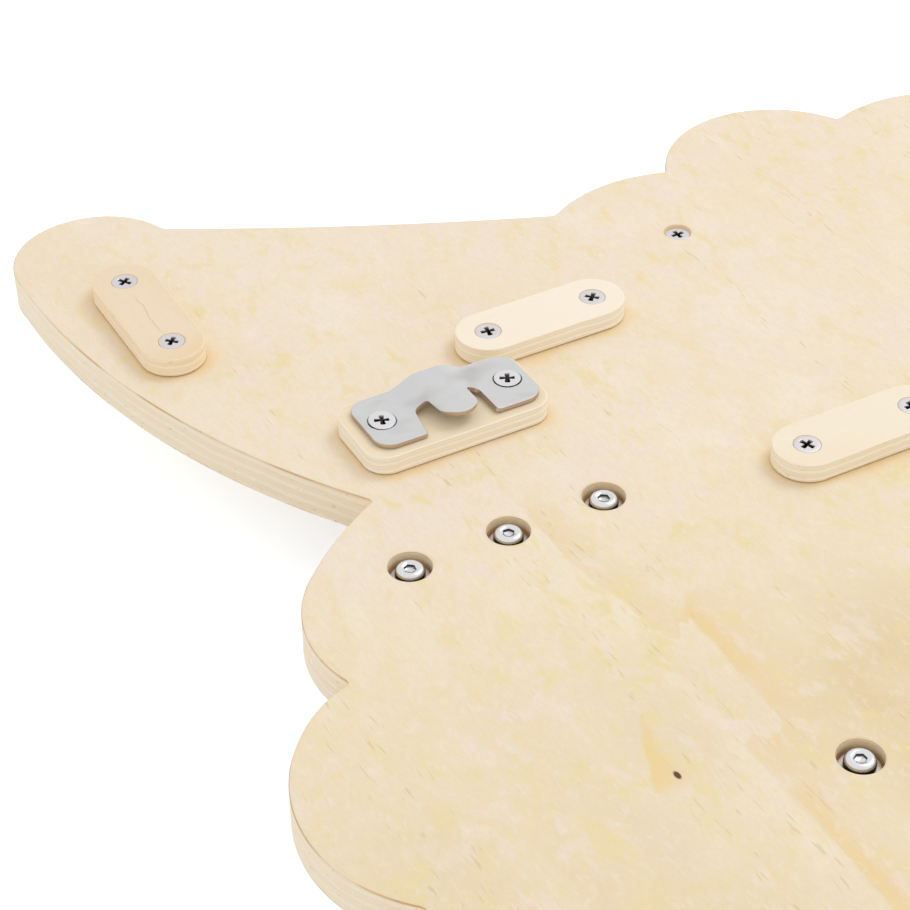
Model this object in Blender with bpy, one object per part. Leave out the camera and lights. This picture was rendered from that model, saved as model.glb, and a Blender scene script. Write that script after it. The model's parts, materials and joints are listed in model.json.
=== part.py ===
# Wall busy board of birch plywood, lying face down as it does before it is hung.
# X runs to the right seen from the back, Y up the wall, Z out of the back. Lengths are in metres.

import math

import bmesh
import bpy

# Panel
HALF_WIDTH = 0.259
HALF_HEIGHT = 0.200
PANEL_THICKNESS = 0.012
STAND_HEIGHT = 0.027
NOTCH_EASE = 0.0016

# Clearances and overruns
FIT = 0.0003
OVERRUN = 0.001

# Counterbores and pivots
COUNTERBORE_RADIUS = 0.0059
COUNTERBORE_DEPTH = 0.0046
BOLT_RADIUS = 0.0025
BOLT_HEAD_RADIUS = 0.0040
BOLT_HEAD_HEIGHT = 0.0030
BOLT_CROWN_RADIUS = 0.0026
BOLT_RIM_HEIGHT = 0.0018
BOLT_SOCKET_RADIUS = 0.0017
BOLT_SOCKET_DEPTH = 0.0015
BOLT_HOLE_CLEARANCE = 0.0004
WASHER_RADIUS = 0.0053
WASHER_THICKNESS = 0.0008
SLEEVE_RADIUS = 0.0038
SLEEVE_CAP_RADIUS = 0.0066
SLEEVE_CAP_THICKNESS = 0.0025
BOLT_END_MARGIN = 0.0010

# Turning pieces
TURNING_GAP = 0.0006
GEAR_SPACING = 0.0291
GEAR_COUNT = 3
GEAR_TEETH = 12
GEAR_THICKNESS = 0.008
SPINNER_RADIUS = 0.0275
SPINNER_SWELL = 0.0045
SPINNER_LOBES = 6
SPINNER_THICKNESS = 0.012
WHEEL_RADIUS = 0.038
WHEEL_RIM_THICKNESS = 0.012
WHEEL_HUB_RADIUS = 0.018
WHEEL_EDGE = 0.0015

# Nose
NOSE_RADIUS = 0.021
NOSE_HEIGHT = 0.018
NOSE_RIM = 0.005

# Wood screws
SCREW_HEAD_RADIUS = 0.0039
SCREW_SHANK_RADIUS = 0.0017
SCREW_HEAD_DEPTH = 0.0024
SCREW_TIP_LENGTH = 0.003
SCREW_POINT_RADIUS = 0.0004
CROSS_ARM = 0.0021
CROSS_HALF_WIDTH = 0.00045
CROSS_DEPTH = 0.0013
PAD_SCREW_LENGTH = 0.015
RAIL_SCREW_LENGTH = 0.020
HANGER_SCREW_LENGTH = 0.016
HANGER_SCREW_PROUD = 0.0004
RAIL_SCREW_SINK = 0.0007

# Pads
PAD_SCREW_SPACING = 0.0348
PAD_RADIUS = 0.0095
PAD_THICKNESS = 0.0057

# Hanging plates on their blocks
HANGER_BLOCK_WIDTH = 0.0562
HANGER_BLOCK_HEIGHT = 0.0272
HANGER_BLOCK_CORNER = 0.0068
PLATE_SHIFT_X = -0.0009
PLATE_SHIFT_Y = 0.0003
PLATE_WIDTH = 0.0508
PLATE_HEIGHT = 0.0222
PLATE_THICKNESS = 0.0013
PLATE_CORNER = 0.0052
PLATE_RISE = 0.0033
BRIDGE_FOOT = 0.0123
BRIDGE_TOP = 0.0028
PLATE_SCREW_SPACING = 0.0391
SLOT_WIDTH = 0.0042
SLOT_TOP = 0.0105
TONGUE_WIDTH = 0.0112
TONGUE_STATION_SHARES = (0.0, 0.25, 0.5, 0.75, 0.93, 1.0)
CORNER_STATION_SHARES = (1.0, 0.5, 0.17, 0.0)

# Bead rail
POST_RADIUS = 0.009
POST_EDGE = 0.0012
ROD_RADIUS = 0.0025
ROD_SEAT_DEPTH = 0.005
ROD_HEIGHT = 0.0125
BEAD_LENGTH = 0.015
BEAD_RADIUS = 0.0105
BEAD_END_RADIUS = 0.0065
BEAD_COUNT = 3
BEAD_STATION_SHARES = (-1.0, -0.9, -0.55, 0.0, 0.55, 0.9, 1.0)

# Number of sides of round shapes
HOLE_SIDES = 20
SMALL_SIDES = 12
BEAD_SIDES = 18
WHEEL_SIDES = 40
SPINNER_SIDES = 60
ARC_STEPS = 10
NOSE_STEPS = 7
PAD_CORNER_STEPS = 5

# Left half of the panel's outline, from the middle of the crown round the ear to the chin:
# x as a share of the half width, y as a share of the half height, and how far the arc to the
# next point swells out, as a share of its chord.
OUTLINE_SHARES = (
    (0.0, 0.7685, 0.1432),
    (-0.1286, 0.6635, 0.1206),
    (-0.2973, 0.641, -0.0165),
    (-0.7178, 0.9095, 0.174),
    (-0.8147, 1.0, 0.2235),
    (-0.9081, 0.8685, 0.0805),
    (-0.7347, 0.1565, 0.037),
    (-0.8378, 0.0635, 0.165),
    (-0.8776, -0.141, 0.072),
    (-0.9517, -0.1975, 0.219),
    (-0.9459, -0.5015, 0.30),
    (-0.7722, -0.7915, 0.20),
    (-0.4556, -0.9015, 0.0412),
    (0.0, -1.0, 0.0),
)
NOTCH_MEMBERS = (1, 2, 3, 6, 8, 10, 11, 12)

# Places on the right half of the panel, as shares of its half width and half height
EAR_PAD_SHARES = (0.8126, 0.6720)
BROW_PAD_SHARES = (0.4336, 0.3840)
EYE_PAD_SHARES = (0.2462, -0.0570)
HANGER_BLOCK_SHARES = (0.6097, 0.2590)
CHEEK_SHARES = (0.6382, 0.0135)
WHEEL_SHARES = (0.5193, -0.5460)
RAIL_SHARES = (0.1903, 0.5060)
NOSE_SHARES = (0.0, -0.26)

# Gear tooth: radius beyond the pitch circle as a share of the module, and the angle from the
# tooth's middle as a share of the pitch angle.
TOOTH_SHARES = ((-1.18, -0.32), (0.80, -0.125), (0.80, 0.125), (-1.18, 0.32))

# Heights that follow from the sizes above
PANEL_BACK = STAND_HEIGHT + PANEL_THICKNESS
PAD_TOP = PANEL_BACK + FIT + PAD_THICKNESS
COUNTERBORE_FLOOR = PANEL_BACK - COUNTERBORE_DEPTH
WASHER_TOP = COUNTERBORE_FLOOR + FIT + WASHER_THICKNESS
BOLT_HEAD_LOW = WASHER_TOP + FIT
BOLT_HEAD_TOP = BOLT_HEAD_LOW + BOLT_HEAD_HEIGHT
PLATE_LOW = PAD_TOP + FIT
PLATE_TOP = PLATE_LOW + PLATE_THICKNESS
HANGER_SCREW_TOP = PLATE_TOP + HANGER_SCREW_PROUD
RAIL_SCREW_TOP = PANEL_BACK - RAIL_SCREW_SINK
TURNING_TOP = STAND_HEIGHT - TURNING_GAP
FRONT_SEAT = STAND_HEIGHT - FIT
GEAR_BOTTOM = TURNING_TOP - GEAR_THICKNESS
SPINNER_BOTTOM = TURNING_TOP - SPINNER_THICKNESS
WHEEL_BOTTOM = SLEEVE_CAP_THICKNESS + FIT
HOLE_RADIUS = SCREW_SHANK_RADIUS + FIT
PIVOT_BORE_RADIUS = SLEEVE_RADIUS + FIT

SIDES = (("left", -1), ("right", 1))


def clear_scene():
    """Empties the file of objects, so that the script can run again."""
    for old in list(bpy.data.objects):
        bpy.data.objects.remove(old, do_unlink=True)


def make_material(name, colour, roughness, metallic):
    """A plain Principled material."""
    material = bpy.data.materials.new(name)
    material.use_nodes = True
    shader = material.node_tree.nodes["Principled BSDF"]
    shader.inputs["Base Color"].default_value = (*colour, 1.0)
    shader.inputs["Roughness"].default_value = roughness
    shader.inputs["Metallic"].default_value = metallic
    return material


def make_object(name, mesh, origin, material, smooth):
    """Links a mesh as a named object at its origin, with a material of its own."""
    colour, roughness, metallic = material
    mesh.materials.append(make_material(name, colour, roughness, metallic))
    if smooth:
        mesh.shade_smooth()
        mesh.set_sharp_from_angle(angle=math.radians(35))
    made = bpy.data.objects.new(name, mesh)
    made.location = origin
    bpy.context.collection.objects.link(made)
    return made


def mesh_from(build, name):
    """Runs a function that fills a bmesh and returns the finished mesh."""
    work = bmesh.new()
    build(work)
    bmesh.ops.recalc_face_normals(work, faces=work.faces)
    mesh = bpy.data.meshes.new(name)
    work.to_mesh(mesh)
    work.free()
    return mesh


def add_prism(work, outline, low, high):
    """Extrudes a closed outline of (x, y) points from one height to another."""
    corners = [work.verts.new((x, y, low)) for x, y in outline]
    floor = work.faces.new(corners)
    raised = bmesh.ops.extrude_face_region(work, geom=[floor])
    tops = [part for part in raised["geom"] if isinstance(part, bmesh.types.BMVert)]
    bmesh.ops.translate(work, verts=tops, vec=(0, 0, high - low))


def add_turned(work, profile, sides, centre=(0, 0), ring=False, along_x=False):
    """Turns a profile of (radius, height) points about an upright axis, or about X."""
    rings = []
    for radius, height in profile:
        row = []
        count = 1 if radius == 0 else sides
        for step in range(count):
            angle = math.tau * step / sides
            across = radius * math.cos(angle)
            up = radius * math.sin(angle)
            place = (height, across, up) if along_x else (across, up, height)
            row.append(work.verts.new((place[0] + centre[0], place[1] + centre[1], place[2])))
        rings.append(row)
    pairs = list(zip(rings, rings[1:]))
    if ring:
        pairs.append((rings[-1], rings[0]))
    for near, far in pairs:
        for step in range(sides):
            after = (step + 1) % sides
            corners = [near[step % len(near)], near[after % len(near)]]
            corners += [far[after % len(far)], far[step % len(far)]]
            work.faces.new(list(dict.fromkeys(corners)))


def cut(target, build):
    """Cuts the solids that a function makes out of an object."""
    mesh = mesh_from(build, target.name + "_cutter")
    cutter = bpy.data.objects.new(target.name + "_cutter", mesh)
    cutter.location = target.location
    cutter.hide_render = True
    cutter.display_type = "WIRE"
    bpy.context.collection.objects.link(cutter)
    modifier = target.modifiers.new("Cut", "BOOLEAN")
    modifier.operation = "DIFFERENCE"
    modifier.solver = "EXACT"
    modifier.object = cutter


def arc_points(start, end, swell, steps):
    """Points of an arc from start to end, without the end. Swell is the rise over the chord."""
    chord = (end[0] - start[0], end[1] - start[1])
    length = math.hypot(*chord)
    rise = swell * length
    radius = (length * length / 4 + rise * rise) / (2 * rise)
    right = (chord[1] / length, -chord[0] / length)
    middle = ((start[0] + end[0]) / 2, (start[1] + end[1]) / 2)
    centre = tuple(m + r * (rise - radius) for m, r in zip(middle, right))
    half_angle = 2 * math.atan(2 * swell)
    first = math.atan2(start[1] - centre[1], start[0] - centre[0])
    points = []
    for step in range(steps):
        angle = first + 2 * half_angle * step / steps
        across, up = abs(radius) * math.cos(angle), abs(radius) * math.sin(angle)
        points.append((centre[0] + across, centre[1] + up))
    return points


def eased_corner(before, corner, after, ease):
    """Replaces a sharp corner by three points of a small curve."""
    starts = []
    for other in (before, after):
        distance = math.dist(other, corner)
        share = min(ease / distance, 1)
        starts.append(tuple(c + share * (o - c) for c, o in zip(corner, other)))
    near, far = starts
    middle = tuple((n + 2 * c + f) / 4 for n, c, f in zip(near, corner, far))
    return [near, middle, far]


def panel_outline():
    """Closed outline of the whole panel, counterclockwise seen from the back."""
    places = [(x * HALF_WIDTH, y * HALF_HEIGHT) for x, y, _ in OUTLINE_SHARES]
    runs = []
    for index, (_, _, swell) in enumerate(OUTLINE_SHARES[:-1]):
        runs.append(arc_points(places[index], places[index + 1], swell, ARC_STEPS))
    half = []
    for index, run in enumerate(runs):
        if index in NOTCH_MEMBERS:
            half += eased_corner(half[-1], run[0], run[1], NOTCH_EASE)
            half += run[1:]
        else:
            half += run
    half.append(places[-1])
    mirrored = [(-x, y) for x, y in reversed(half[1:-1])]
    return half + mirrored


def place_on(shares, sign):
    """A place on one half of the panel, left or right, in its real size."""
    return (sign * shares[0] * HALF_WIDTH, shares[1] * HALF_HEIGHT)


def pivot_places():
    """Each pivot's name, centre and the front face of the piece that turns on it."""
    places = []
    middle, row = place_on(CHEEK_SHARES, -1)
    for index in range(GEAR_COUNT):
        x = middle + (index - (GEAR_COUNT - 1) / 2) * GEAR_SPACING
        places.append(("gear_%d" % (index + 1), x, row, GEAR_BOTTOM))
    places.append(("spinner", *place_on(CHEEK_SHARES, 1), SPINNER_BOTTOM))
    for side, sign in SIDES:
        places.append(("wheel_" + side, *place_on(WHEEL_SHARES, sign), WHEEL_BOTTOM))
    return places


def pad_places():
    """Each pad's name, centre and whether it stands upright."""
    places = []
    for side, sign in SIDES:
        places.append(("ear_pad_" + side, *place_on(EAR_PAD_SHARES, sign), True))
        places.append(("brow_pad_" + side, *place_on(BROW_PAD_SHARES, sign), False))
        places.append(("eye_pad_" + side, *place_on(EYE_PAD_SHARES, sign), False))
    return places


def pair_places(x, y, upright, spacing):
    """Two points either side of a centre, up and down or left and right."""
    half = spacing / 2
    if upright:
        return [(x, y - half), (x, y + half)]
    return [(x - half, y), (x + half, y)]


def pad_screw_places():
    """Name and centre of each screw in the pads."""
    places = []
    for name, x, y, upright in pad_places():
        for index, place in enumerate(pair_places(x, y, upright, PAD_SCREW_SPACING)):
            places.append(("%s_screw_%d" % (name, index + 1), *place))
    return places


def plate_place(sign):
    """Centre of a hanging plate on its block."""
    x, y = place_on(HANGER_BLOCK_SHARES, sign)
    return (x + sign * PLATE_SHIFT_X, y + PLATE_SHIFT_Y)


def hanger_screw_places():
    """Name and centre of each screw in the hanging plates."""
    places = []
    for side, sign in SIDES:
        for index, place in enumerate(pair_places(*plate_place(sign), False, PLATE_SCREW_SPACING)):
            places.append(("hanger_screw_%s_%d" % (side, index + 1), *place))
    return places


def rail_screw_places():
    """Name and centre of the two screws that go straight through the panel."""
    return [("rail_screw_" + side, *place_on(RAIL_SHARES, sign)) for side, sign in SIDES]


def sunk_hole(head_top, surface, bottom):
    """Profile of a countersunk hole whose cone follows the screw's head."""
    rim = SCREW_HEAD_RADIUS + FIT
    return [
        (0, surface + OVERRUN),
        (rim, surface + OVERRUN),
        (rim, head_top),
        (HOLE_RADIUS, head_top - SCREW_HEAD_DEPTH),
        (HOLE_RADIUS, bottom),
        (0, bottom),
    ]


def plain_bar(radius, top, bottom):
    """Profile of a plain round bar or hole."""
    return [(0, top), (radius, top), (radius, bottom), (0, bottom)]


def edged_disc(radius, edge, low, high):
    """Profile of a disc with a small bevel round both rims."""
    return [
        (0, low),
        (radius - edge, low),
        (radius, low + edge),
        (radius, high - edge),
        (radius - edge, high),
        (0, high),
    ]


def make_panel(wood):
    """The shaped plywood panel with every hole that its fasteners need."""
    outline = panel_outline()
    mesh = mesh_from(lambda work: add_prism(work, outline, STAND_HEIGHT, PANEL_BACK), "board_panel")
    panel = make_object("board_panel", mesh, (0, 0, 0), wood, False)
    below = STAND_HEIGHT - OVERRUN
    above = PANEL_BACK + OVERRUN
    bolt_hole = BOLT_RADIUS + BOLT_HOLE_CLEARANCE
    stepped = [
        (0, above),
        (COUNTERBORE_RADIUS, above),
        (COUNTERBORE_RADIUS, COUNTERBORE_FLOOR),
        (bolt_hole, COUNTERBORE_FLOOR),
        (bolt_hole, below),
        (0, below),
    ]
    pad_hole = plain_bar(HOLE_RADIUS, above, PAD_TOP - PAD_SCREW_LENGTH - FIT)
    hanger_hole = plain_bar(HOLE_RADIUS, above, HANGER_SCREW_TOP - HANGER_SCREW_LENGTH - FIT)

    def cutters(work):
        for _, x, y, _ in pivot_places():
            add_turned(work, stepped, HOLE_SIDES, (x, y))
        for _, x, y in rail_screw_places():
            add_turned(work, sunk_hole(RAIL_SCREW_TOP, PANEL_BACK, below), SMALL_SIDES, (x, y))
        for _, x, y in pad_screw_places():
            add_turned(work, pad_hole, SMALL_SIDES, (x, y))
        for _, x, y in hanger_screw_places():
            add_turned(work, hanger_hole, SMALL_SIDES, (x, y))

    cut(panel, cutters)


def rounded_box(width, height, corner, steps):
    """Closed outline of a rectangle with round corners, counterclockwise."""
    points = []
    corners = ((1, 1), (-1, 1), (-1, -1), (1, -1))
    for index, (across, up) in enumerate(corners):
        x = across * (width / 2 - corner)
        y = up * (height / 2 - corner)
        for step in range(steps + 1):
            angle = math.pi / 2 * (index + step / steps)
            point = (x + corner * math.cos(angle), y + corner * math.sin(angle))
            if not points or math.dist(point, points[-1]) > FIT / 2:
                points.append(point)
    return points[:-1] if math.dist(points[0], points[-1]) < FIT / 2 else points


def make_backing(name, place, outline, screws, head_top, wood):
    """A flat plywood piece on the panel's back, with a countersunk hole for each screw."""
    low = PANEL_BACK + FIT
    mesh = mesh_from(lambda work: add_prism(work, outline, low, PAD_TOP), name)
    piece = make_object(name, mesh, (*place, 0), wood, False)

    def cutters(work):
        for x, y in screws:
            centre = (x - place[0], y - place[1])
            add_turned(work, sunk_hole(head_top, head_top, low - OVERRUN), SMALL_SIDES, centre)

    cut(piece, cutters)


def make_pads(wood):
    """Six round-ended pads."""
    long_side = PAD_SCREW_SPACING + 2 * PAD_RADIUS
    for name, x, y, upright in pad_places():
        width, height = (2 * PAD_RADIUS, long_side) if upright else (long_side, 2 * PAD_RADIUS)
        outline = rounded_box(width, height, PAD_RADIUS, PAD_CORNER_STEPS)
        screws = pair_places(x, y, upright, PAD_SCREW_SPACING)
        make_backing(name, (x, y), outline, screws, PAD_TOP, wood)


def make_hanger_blocks(wood):
    """Two plywood blocks under the hanging plates."""
    outline = rounded_box(HANGER_BLOCK_WIDTH, HANGER_BLOCK_HEIGHT, HANGER_BLOCK_CORNER, PAD_CORNER_STEPS)
    for side, sign in SIDES:
        screws = pair_places(*plate_place(sign), False, PLATE_SCREW_SPACING)
        place = place_on(HANGER_BLOCK_SHARES, sign)
        make_backing("hanger_block_" + side, place, outline, screws, HANGER_SCREW_TOP, wood)


def bridge_rise(x):
    """Rise of the hanging plate above its flat ears: a smooth bridge over its middle."""
    share = min(max((BRIDGE_FOOT - abs(x)) / (BRIDGE_FOOT - BRIDGE_TOP), 0), 1)
    return PLATE_RISE * share * share * (3 - 2 * share)


def corner_drop(distance, radius):
    """How far a round corner of a radius cuts in at a distance from the side."""
    inside = max(radius - distance, 0)
    return radius - math.sqrt(max(radius * radius - inside * inside, 0))


def plate_columns():
    """Stations across the hanging plate, close together on its bridge and corners."""
    half = PLATE_WIDTH / 2
    tongue = TONGUE_WIDTH / 2
    slot = tongue + SLOT_WIDTH
    stops = [tongue * share for share in TONGUE_STATION_SHARES]
    stops += [(tongue + slot) / 2, slot, BRIDGE_FOOT]
    stops += [half - PLATE_CORNER * share for share in CORNER_STATION_SHARES]
    return [-stop for stop in reversed(stops[1:])] + stops


def plate_surface(work):
    """The plate's under surface: a band over the slots, two ears and the tongue below it."""
    half = PLATE_WIDTH / 2
    half_height = PLATE_HEIGHT / 2
    slot_top = SLOT_TOP - half_height
    tongue = TONGUE_WIDTH / 2
    slot = tongue + SLOT_WIDTH
    columns = plate_columns()
    corners = {}

    def corner(x, y):
        key = (round(x / OVERRUN, 4), round(y / OVERRUN, 4))
        if key not in corners:
            corners[key] = work.verts.new((x, y, PLATE_LOW + bridge_rise(x)))
        return corners[key]

    def band(x):
        top = half_height - corner_drop(half - abs(x), PLATE_CORNER)
        return (slot_top, (top + slot_top) / 2, top)

    def ear(x):
        return (corner_drop(half - abs(x), PLATE_CORNER) - half_height, slot_top)

    def finger(x):
        return (corner_drop(tongue - abs(x), tongue) - half_height, slot_top)

    for left, right in zip(columns, columns[1:]):
        far = max(abs(left), abs(right))
        shapes = [band]
        if far > slot + FIT:
            shapes.append(ear)
        if far < tongue + FIT:
            shapes.append(finger)
        for rows in shapes:
            near_rows, far_rows = rows(left), rows(right)
            for step in range(len(near_rows) - 1):
                quad = [corner(left, near_rows[step]), corner(right, far_rows[step])]
                quad += [corner(right, far_rows[step + 1]), corner(left, near_rows[step + 1])]
                work.faces.new(list(dict.fromkeys(quad)))


def make_hanging_plates(steel):
    """Two pressed steel plates: flat ears, a raised bridge and a tongue that points down."""
    for side, sign in SIDES:
        name = "hanger_plate_" + side
        work = bmesh.new()
        plate_surface(work)
        mesh = bpy.data.meshes.new(name)
        work.to_mesh(mesh)
        work.free()
        plate = make_object(name, mesh, (*plate_place(sign), 0), steel, True)
        wall = plate.modifiers.new("Sheet", "SOLIDIFY")
        wall.thickness = PLATE_THICKNESS
        wall.offset = 1

        def cutters(work):
            for place in pair_places(0.0, 0.0, False, PLATE_SCREW_SPACING):
                profile = sunk_hole(HANGER_SCREW_TOP, HANGER_SCREW_TOP, PLATE_LOW - OVERRUN)
                add_turned(work, profile, HOLE_SIDES, place)

        cut(plate, cutters)


def cross_points(arm, half_width):
    """Twelve corners of a cross, counterclockwise from the end of its right arm."""
    quarter = [(arm, -half_width), (arm, half_width), (half_width, half_width)]
    points = []
    for cos, sin in ((1, 0), (0, 1), (-1, 0), (0, -1)):
        points += [(x * cos - y * sin, x * sin + y * cos) for x, y in quarter]
    return points


def hexagon_points(corner_radius):
    """Twelve points of a hexagon: its corners and the middles of its sides."""
    points = []
    for step in range(SMALL_SIDES):
        angle = math.tau * (step - 0.5) / SMALL_SIDES
        radius = corner_radius if step % 2 else corner_radius * math.cos(math.pi / 6)
        points.append((radius * math.cos(angle), radius * math.sin(angle)))
    return points


def round_points(radius):
    """Twelve points of a circle, each beside one of a cross or hexagon."""
    angles = [math.tau * (step - 0.5) / SMALL_SIDES for step in range(SMALL_SIDES)]
    return [(radius * math.cos(angle), radius * math.sin(angle)) for angle in angles]


def add_fastener(work, rows):
    """Joins rows of twelve points, each at a height, from a recess over the head to the end."""
    rings = [[work.verts.new((x, y, height)) for x, y in points] for points, height in rows]
    work.faces.new(rings[0])
    work.faces.new(rings[-1])
    for near, far in zip(rings, rings[1:]):
        for step in range(SMALL_SIDES):
            after = (step + 1) % SMALL_SIDES
            work.faces.new([near[step], near[after], far[after], far[step]])


def add_wood_screw(work, top, length):
    """A countersunk wood screw with a cross recess, its head's top at the given height."""
    rows = [
        (cross_points(CROSS_ARM / 2, CROSS_HALF_WIDTH / 2), top - CROSS_DEPTH),
        (cross_points(CROSS_ARM, CROSS_HALF_WIDTH), top),
        (round_points(SCREW_HEAD_RADIUS), top),
        (round_points(SCREW_SHANK_RADIUS), top - SCREW_HEAD_DEPTH),
        (round_points(SCREW_SHANK_RADIUS), top - length + SCREW_TIP_LENGTH),
        (round_points(SCREW_POINT_RADIUS), top - length),
    ]
    add_fastener(work, rows)


def make_screws(places, top, length, steel):
    """Wood screws of one length, each at its place."""
    for name, x, y in places:
        mesh = mesh_from(lambda work: add_wood_screw(work, top, length), name)
        make_object(name, mesh, (x, y, 0), steel, True)


def add_bolt(work, end):
    """A button-head bolt with a hexagon socket, down to its end."""
    rows = [
        (hexagon_points(BOLT_SOCKET_RADIUS), BOLT_HEAD_TOP - BOLT_SOCKET_DEPTH),
        (hexagon_points(BOLT_SOCKET_RADIUS), BOLT_HEAD_TOP),
        (round_points(BOLT_CROWN_RADIUS), BOLT_HEAD_TOP),
        (round_points(BOLT_HEAD_RADIUS), BOLT_HEAD_LOW + BOLT_RIM_HEIGHT),
        (round_points(BOLT_HEAD_RADIUS), BOLT_HEAD_LOW),
        (round_points(BOLT_RADIUS), BOLT_HEAD_LOW),
        (round_points(BOLT_RADIUS), end),
    ]
    add_fastener(work, rows)


def sleeve_profile(cap_top):
    """A sleeve nut: a blind threaded tube that is the bearing, and a flat cap in front."""
    bore = BOLT_RADIUS + FIT
    bore_end = cap_top + BOLT_END_MARGIN - FIT
    return [
        (0, bore_end),
        (bore, bore_end),
        (bore, FRONT_SEAT),
        (SLEEVE_RADIUS, FRONT_SEAT),
        (SLEEVE_RADIUS, cap_top),
        (SLEEVE_CAP_RADIUS, cap_top),
        (SLEEVE_CAP_RADIUS, cap_top - SLEEVE_CAP_THICKNESS),
        (0, cap_top - SLEEVE_CAP_THICKNESS),
    ]


def make_pivots(steel):
    """A bolt, a washer and a sleeve nut for each turning piece."""
    washer_low = COUNTERBORE_FLOOR + FIT
    washer = [
        (BOLT_RADIUS + FIT, washer_low),
        (WASHER_RADIUS, washer_low),
        (WASHER_RADIUS, WASHER_TOP),
        (BOLT_RADIUS + FIT, WASHER_TOP),
    ]
    for name, x, y, front in pivot_places():
        cap_top = front - FIT
        sleeve = sleeve_profile(cap_top)
        builders = (
            (name + "_bolt", lambda work: add_bolt(work, cap_top + BOLT_END_MARGIN)),
            (name + "_sleeve", lambda work: add_turned(work, sleeve, SMALL_SIDES)),
            (name + "_washer", lambda work: add_turned(work, washer, SMALL_SIDES, ring=True)),
        )
        for piece, build in builders:
            make_object(piece, mesh_from(build, piece), (x, y, 0), steel, True)


def gear_outline(turned):
    """Outline of a small gear, turned by a share of its pitch angle."""
    module = GEAR_SPACING / GEAR_TEETH
    pitch = math.tau / GEAR_TEETH
    points = []
    for tooth in range(GEAR_TEETH):
        for rise_share, angle_share in TOOTH_SHARES:
            angle = pitch * (tooth + turned + angle_share)
            radius = GEAR_SPACING / 2 + rise_share * module
            points.append((radius * math.cos(angle), radius * math.sin(angle)))
    return points


def spinner_outline():
    """Outline of the petal-shaped spinner: a circle whose radius swells once for each lobe."""
    points = []
    for step in range(SPINNER_SIDES):
        angle = math.tau * step / SPINNER_SIDES
        radius = SPINNER_RADIUS + SPINNER_SWELL * math.cos(SPINNER_LOBES * angle)
        points.append((radius * math.cos(angle), radius * math.sin(angle)))
    return points


def make_bored_prism(name, place, outline, low, colour):
    """A flat wooden piece that turns on its sleeve nut."""
    mesh = mesh_from(lambda work: add_prism(work, outline, low, TURNING_TOP), name)
    piece = make_object(name, mesh, (*place, 0), colour, False)
    bore = plain_bar(PIVOT_BORE_RADIUS, TURNING_TOP + OVERRUN, low - OVERRUN)
    cut(piece, lambda work: add_turned(work, bore, HOLE_SIDES))


def wheel_profile():
    """A turned wheel: a rim disc in front and a hub that reaches back to the panel."""
    rim_top = WHEEL_BOTTOM + WHEEL_RIM_THICKNESS
    return [
        (PIVOT_BORE_RADIUS, WHEEL_BOTTOM),
        (WHEEL_RADIUS - WHEEL_EDGE, WHEEL_BOTTOM),
        (WHEEL_RADIUS, WHEEL_BOTTOM + WHEEL_EDGE),
        (WHEEL_RADIUS, rim_top - WHEEL_EDGE),
        (WHEEL_RADIUS - WHEEL_EDGE, rim_top),
        (WHEEL_HUB_RADIUS, rim_top),
        (WHEEL_HUB_RADIUS, TURNING_TOP),
        (PIVOT_BORE_RADIUS, TURNING_TOP),
    ]


def make_turning_pieces(colours):
    """Three meshed gears, the spinner and the two wheels."""
    for name, x, y, front in pivot_places():
        if name.startswith("gear"):
            index = int(name[-1]) - 1
            outline = gear_outline(index / 2)
            make_bored_prism(name, (x, y), outline, front, colours[index])
        elif name == "spinner":
            make_bored_prism(name, (x, y), spinner_outline(), front, colours[0])
        else:
            mesh = mesh_from(lambda work: add_turned(work, wheel_profile(), WHEEL_SIDES, ring=True), name)
            make_object(name, mesh, (x, y, 0), colours[2], True)


def nose_profile():
    """A domed nose: a straight rim against the panel and a half ellipse in front."""
    dome = NOSE_HEIGHT - NOSE_RIM
    profile = [(0, FRONT_SEAT), (NOSE_RADIUS, FRONT_SEAT)]
    for step in range(NOSE_STEPS):
        angle = math.pi / 2 * step / NOSE_STEPS
        height = FRONT_SEAT - NOSE_RIM - dome * math.sin(angle)
        profile.append((NOSE_RADIUS * math.cos(angle), height))
    profile.append((0, FRONT_SEAT - NOSE_HEIGHT))
    return profile


def make_nose(colour):
    """The wooden nose, glued on the panel's front."""
    mesh = mesh_from(lambda work: add_turned(work, nose_profile(), WHEEL_SIDES), "nose")
    make_object("nose", mesh, (*place_on(NOSE_SHARES, 1), 0), colour, True)


def add_rod(work, radius, start, end):
    """A round bar along X at rod height."""
    add_turned(work, [(0, start), (radius, start), (radius, end), (0, end)], SMALL_SIDES, along_x=True)
    bmesh.ops.translate(work, verts=work.verts, vec=(0, 0, ROD_HEIGHT))


def make_posts(wood):
    """Two round posts with a pilot hole from the panel and a blind seat for the rod."""
    profile = edged_disc(POST_RADIUS, POST_EDGE, 0, FRONT_SEAT)
    pilot = plain_bar(HOLE_RADIUS, FRONT_SEAT + OVERRUN, RAIL_SCREW_TOP - RAIL_SCREW_LENGTH - FIT)
    for side, sign in SIDES:
        name = "rail_post_" + side
        mesh = mesh_from(lambda work: add_turned(work, profile, BEAD_SIDES), name)
        post = make_object(name, mesh, (*place_on(RAIL_SHARES, sign), 0), wood, True)
        seat = sorted((-sign * (POST_RADIUS - ROD_SEAT_DEPTH), -sign * (POST_RADIUS + OVERRUN)))

        def cutters(work):
            add_rod(work, ROD_RADIUS + FIT, *seat)
            add_turned(work, pilot, SMALL_SIDES)

        cut(post, cutters)


def bead_profile():
    """A bead along X: a barrel with a bore for the rod."""
    half = BEAD_LENGTH / 2
    bore = ROD_RADIUS + FIT
    profile = [(bore, -half)]
    for share in BEAD_STATION_SHARES:
        swell = math.sqrt(1 - share * share)
        profile.append((BEAD_END_RADIUS + (BEAD_RADIUS - BEAD_END_RADIUS) * swell, half * share))
    profile.append((bore, half))
    return profile


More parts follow.
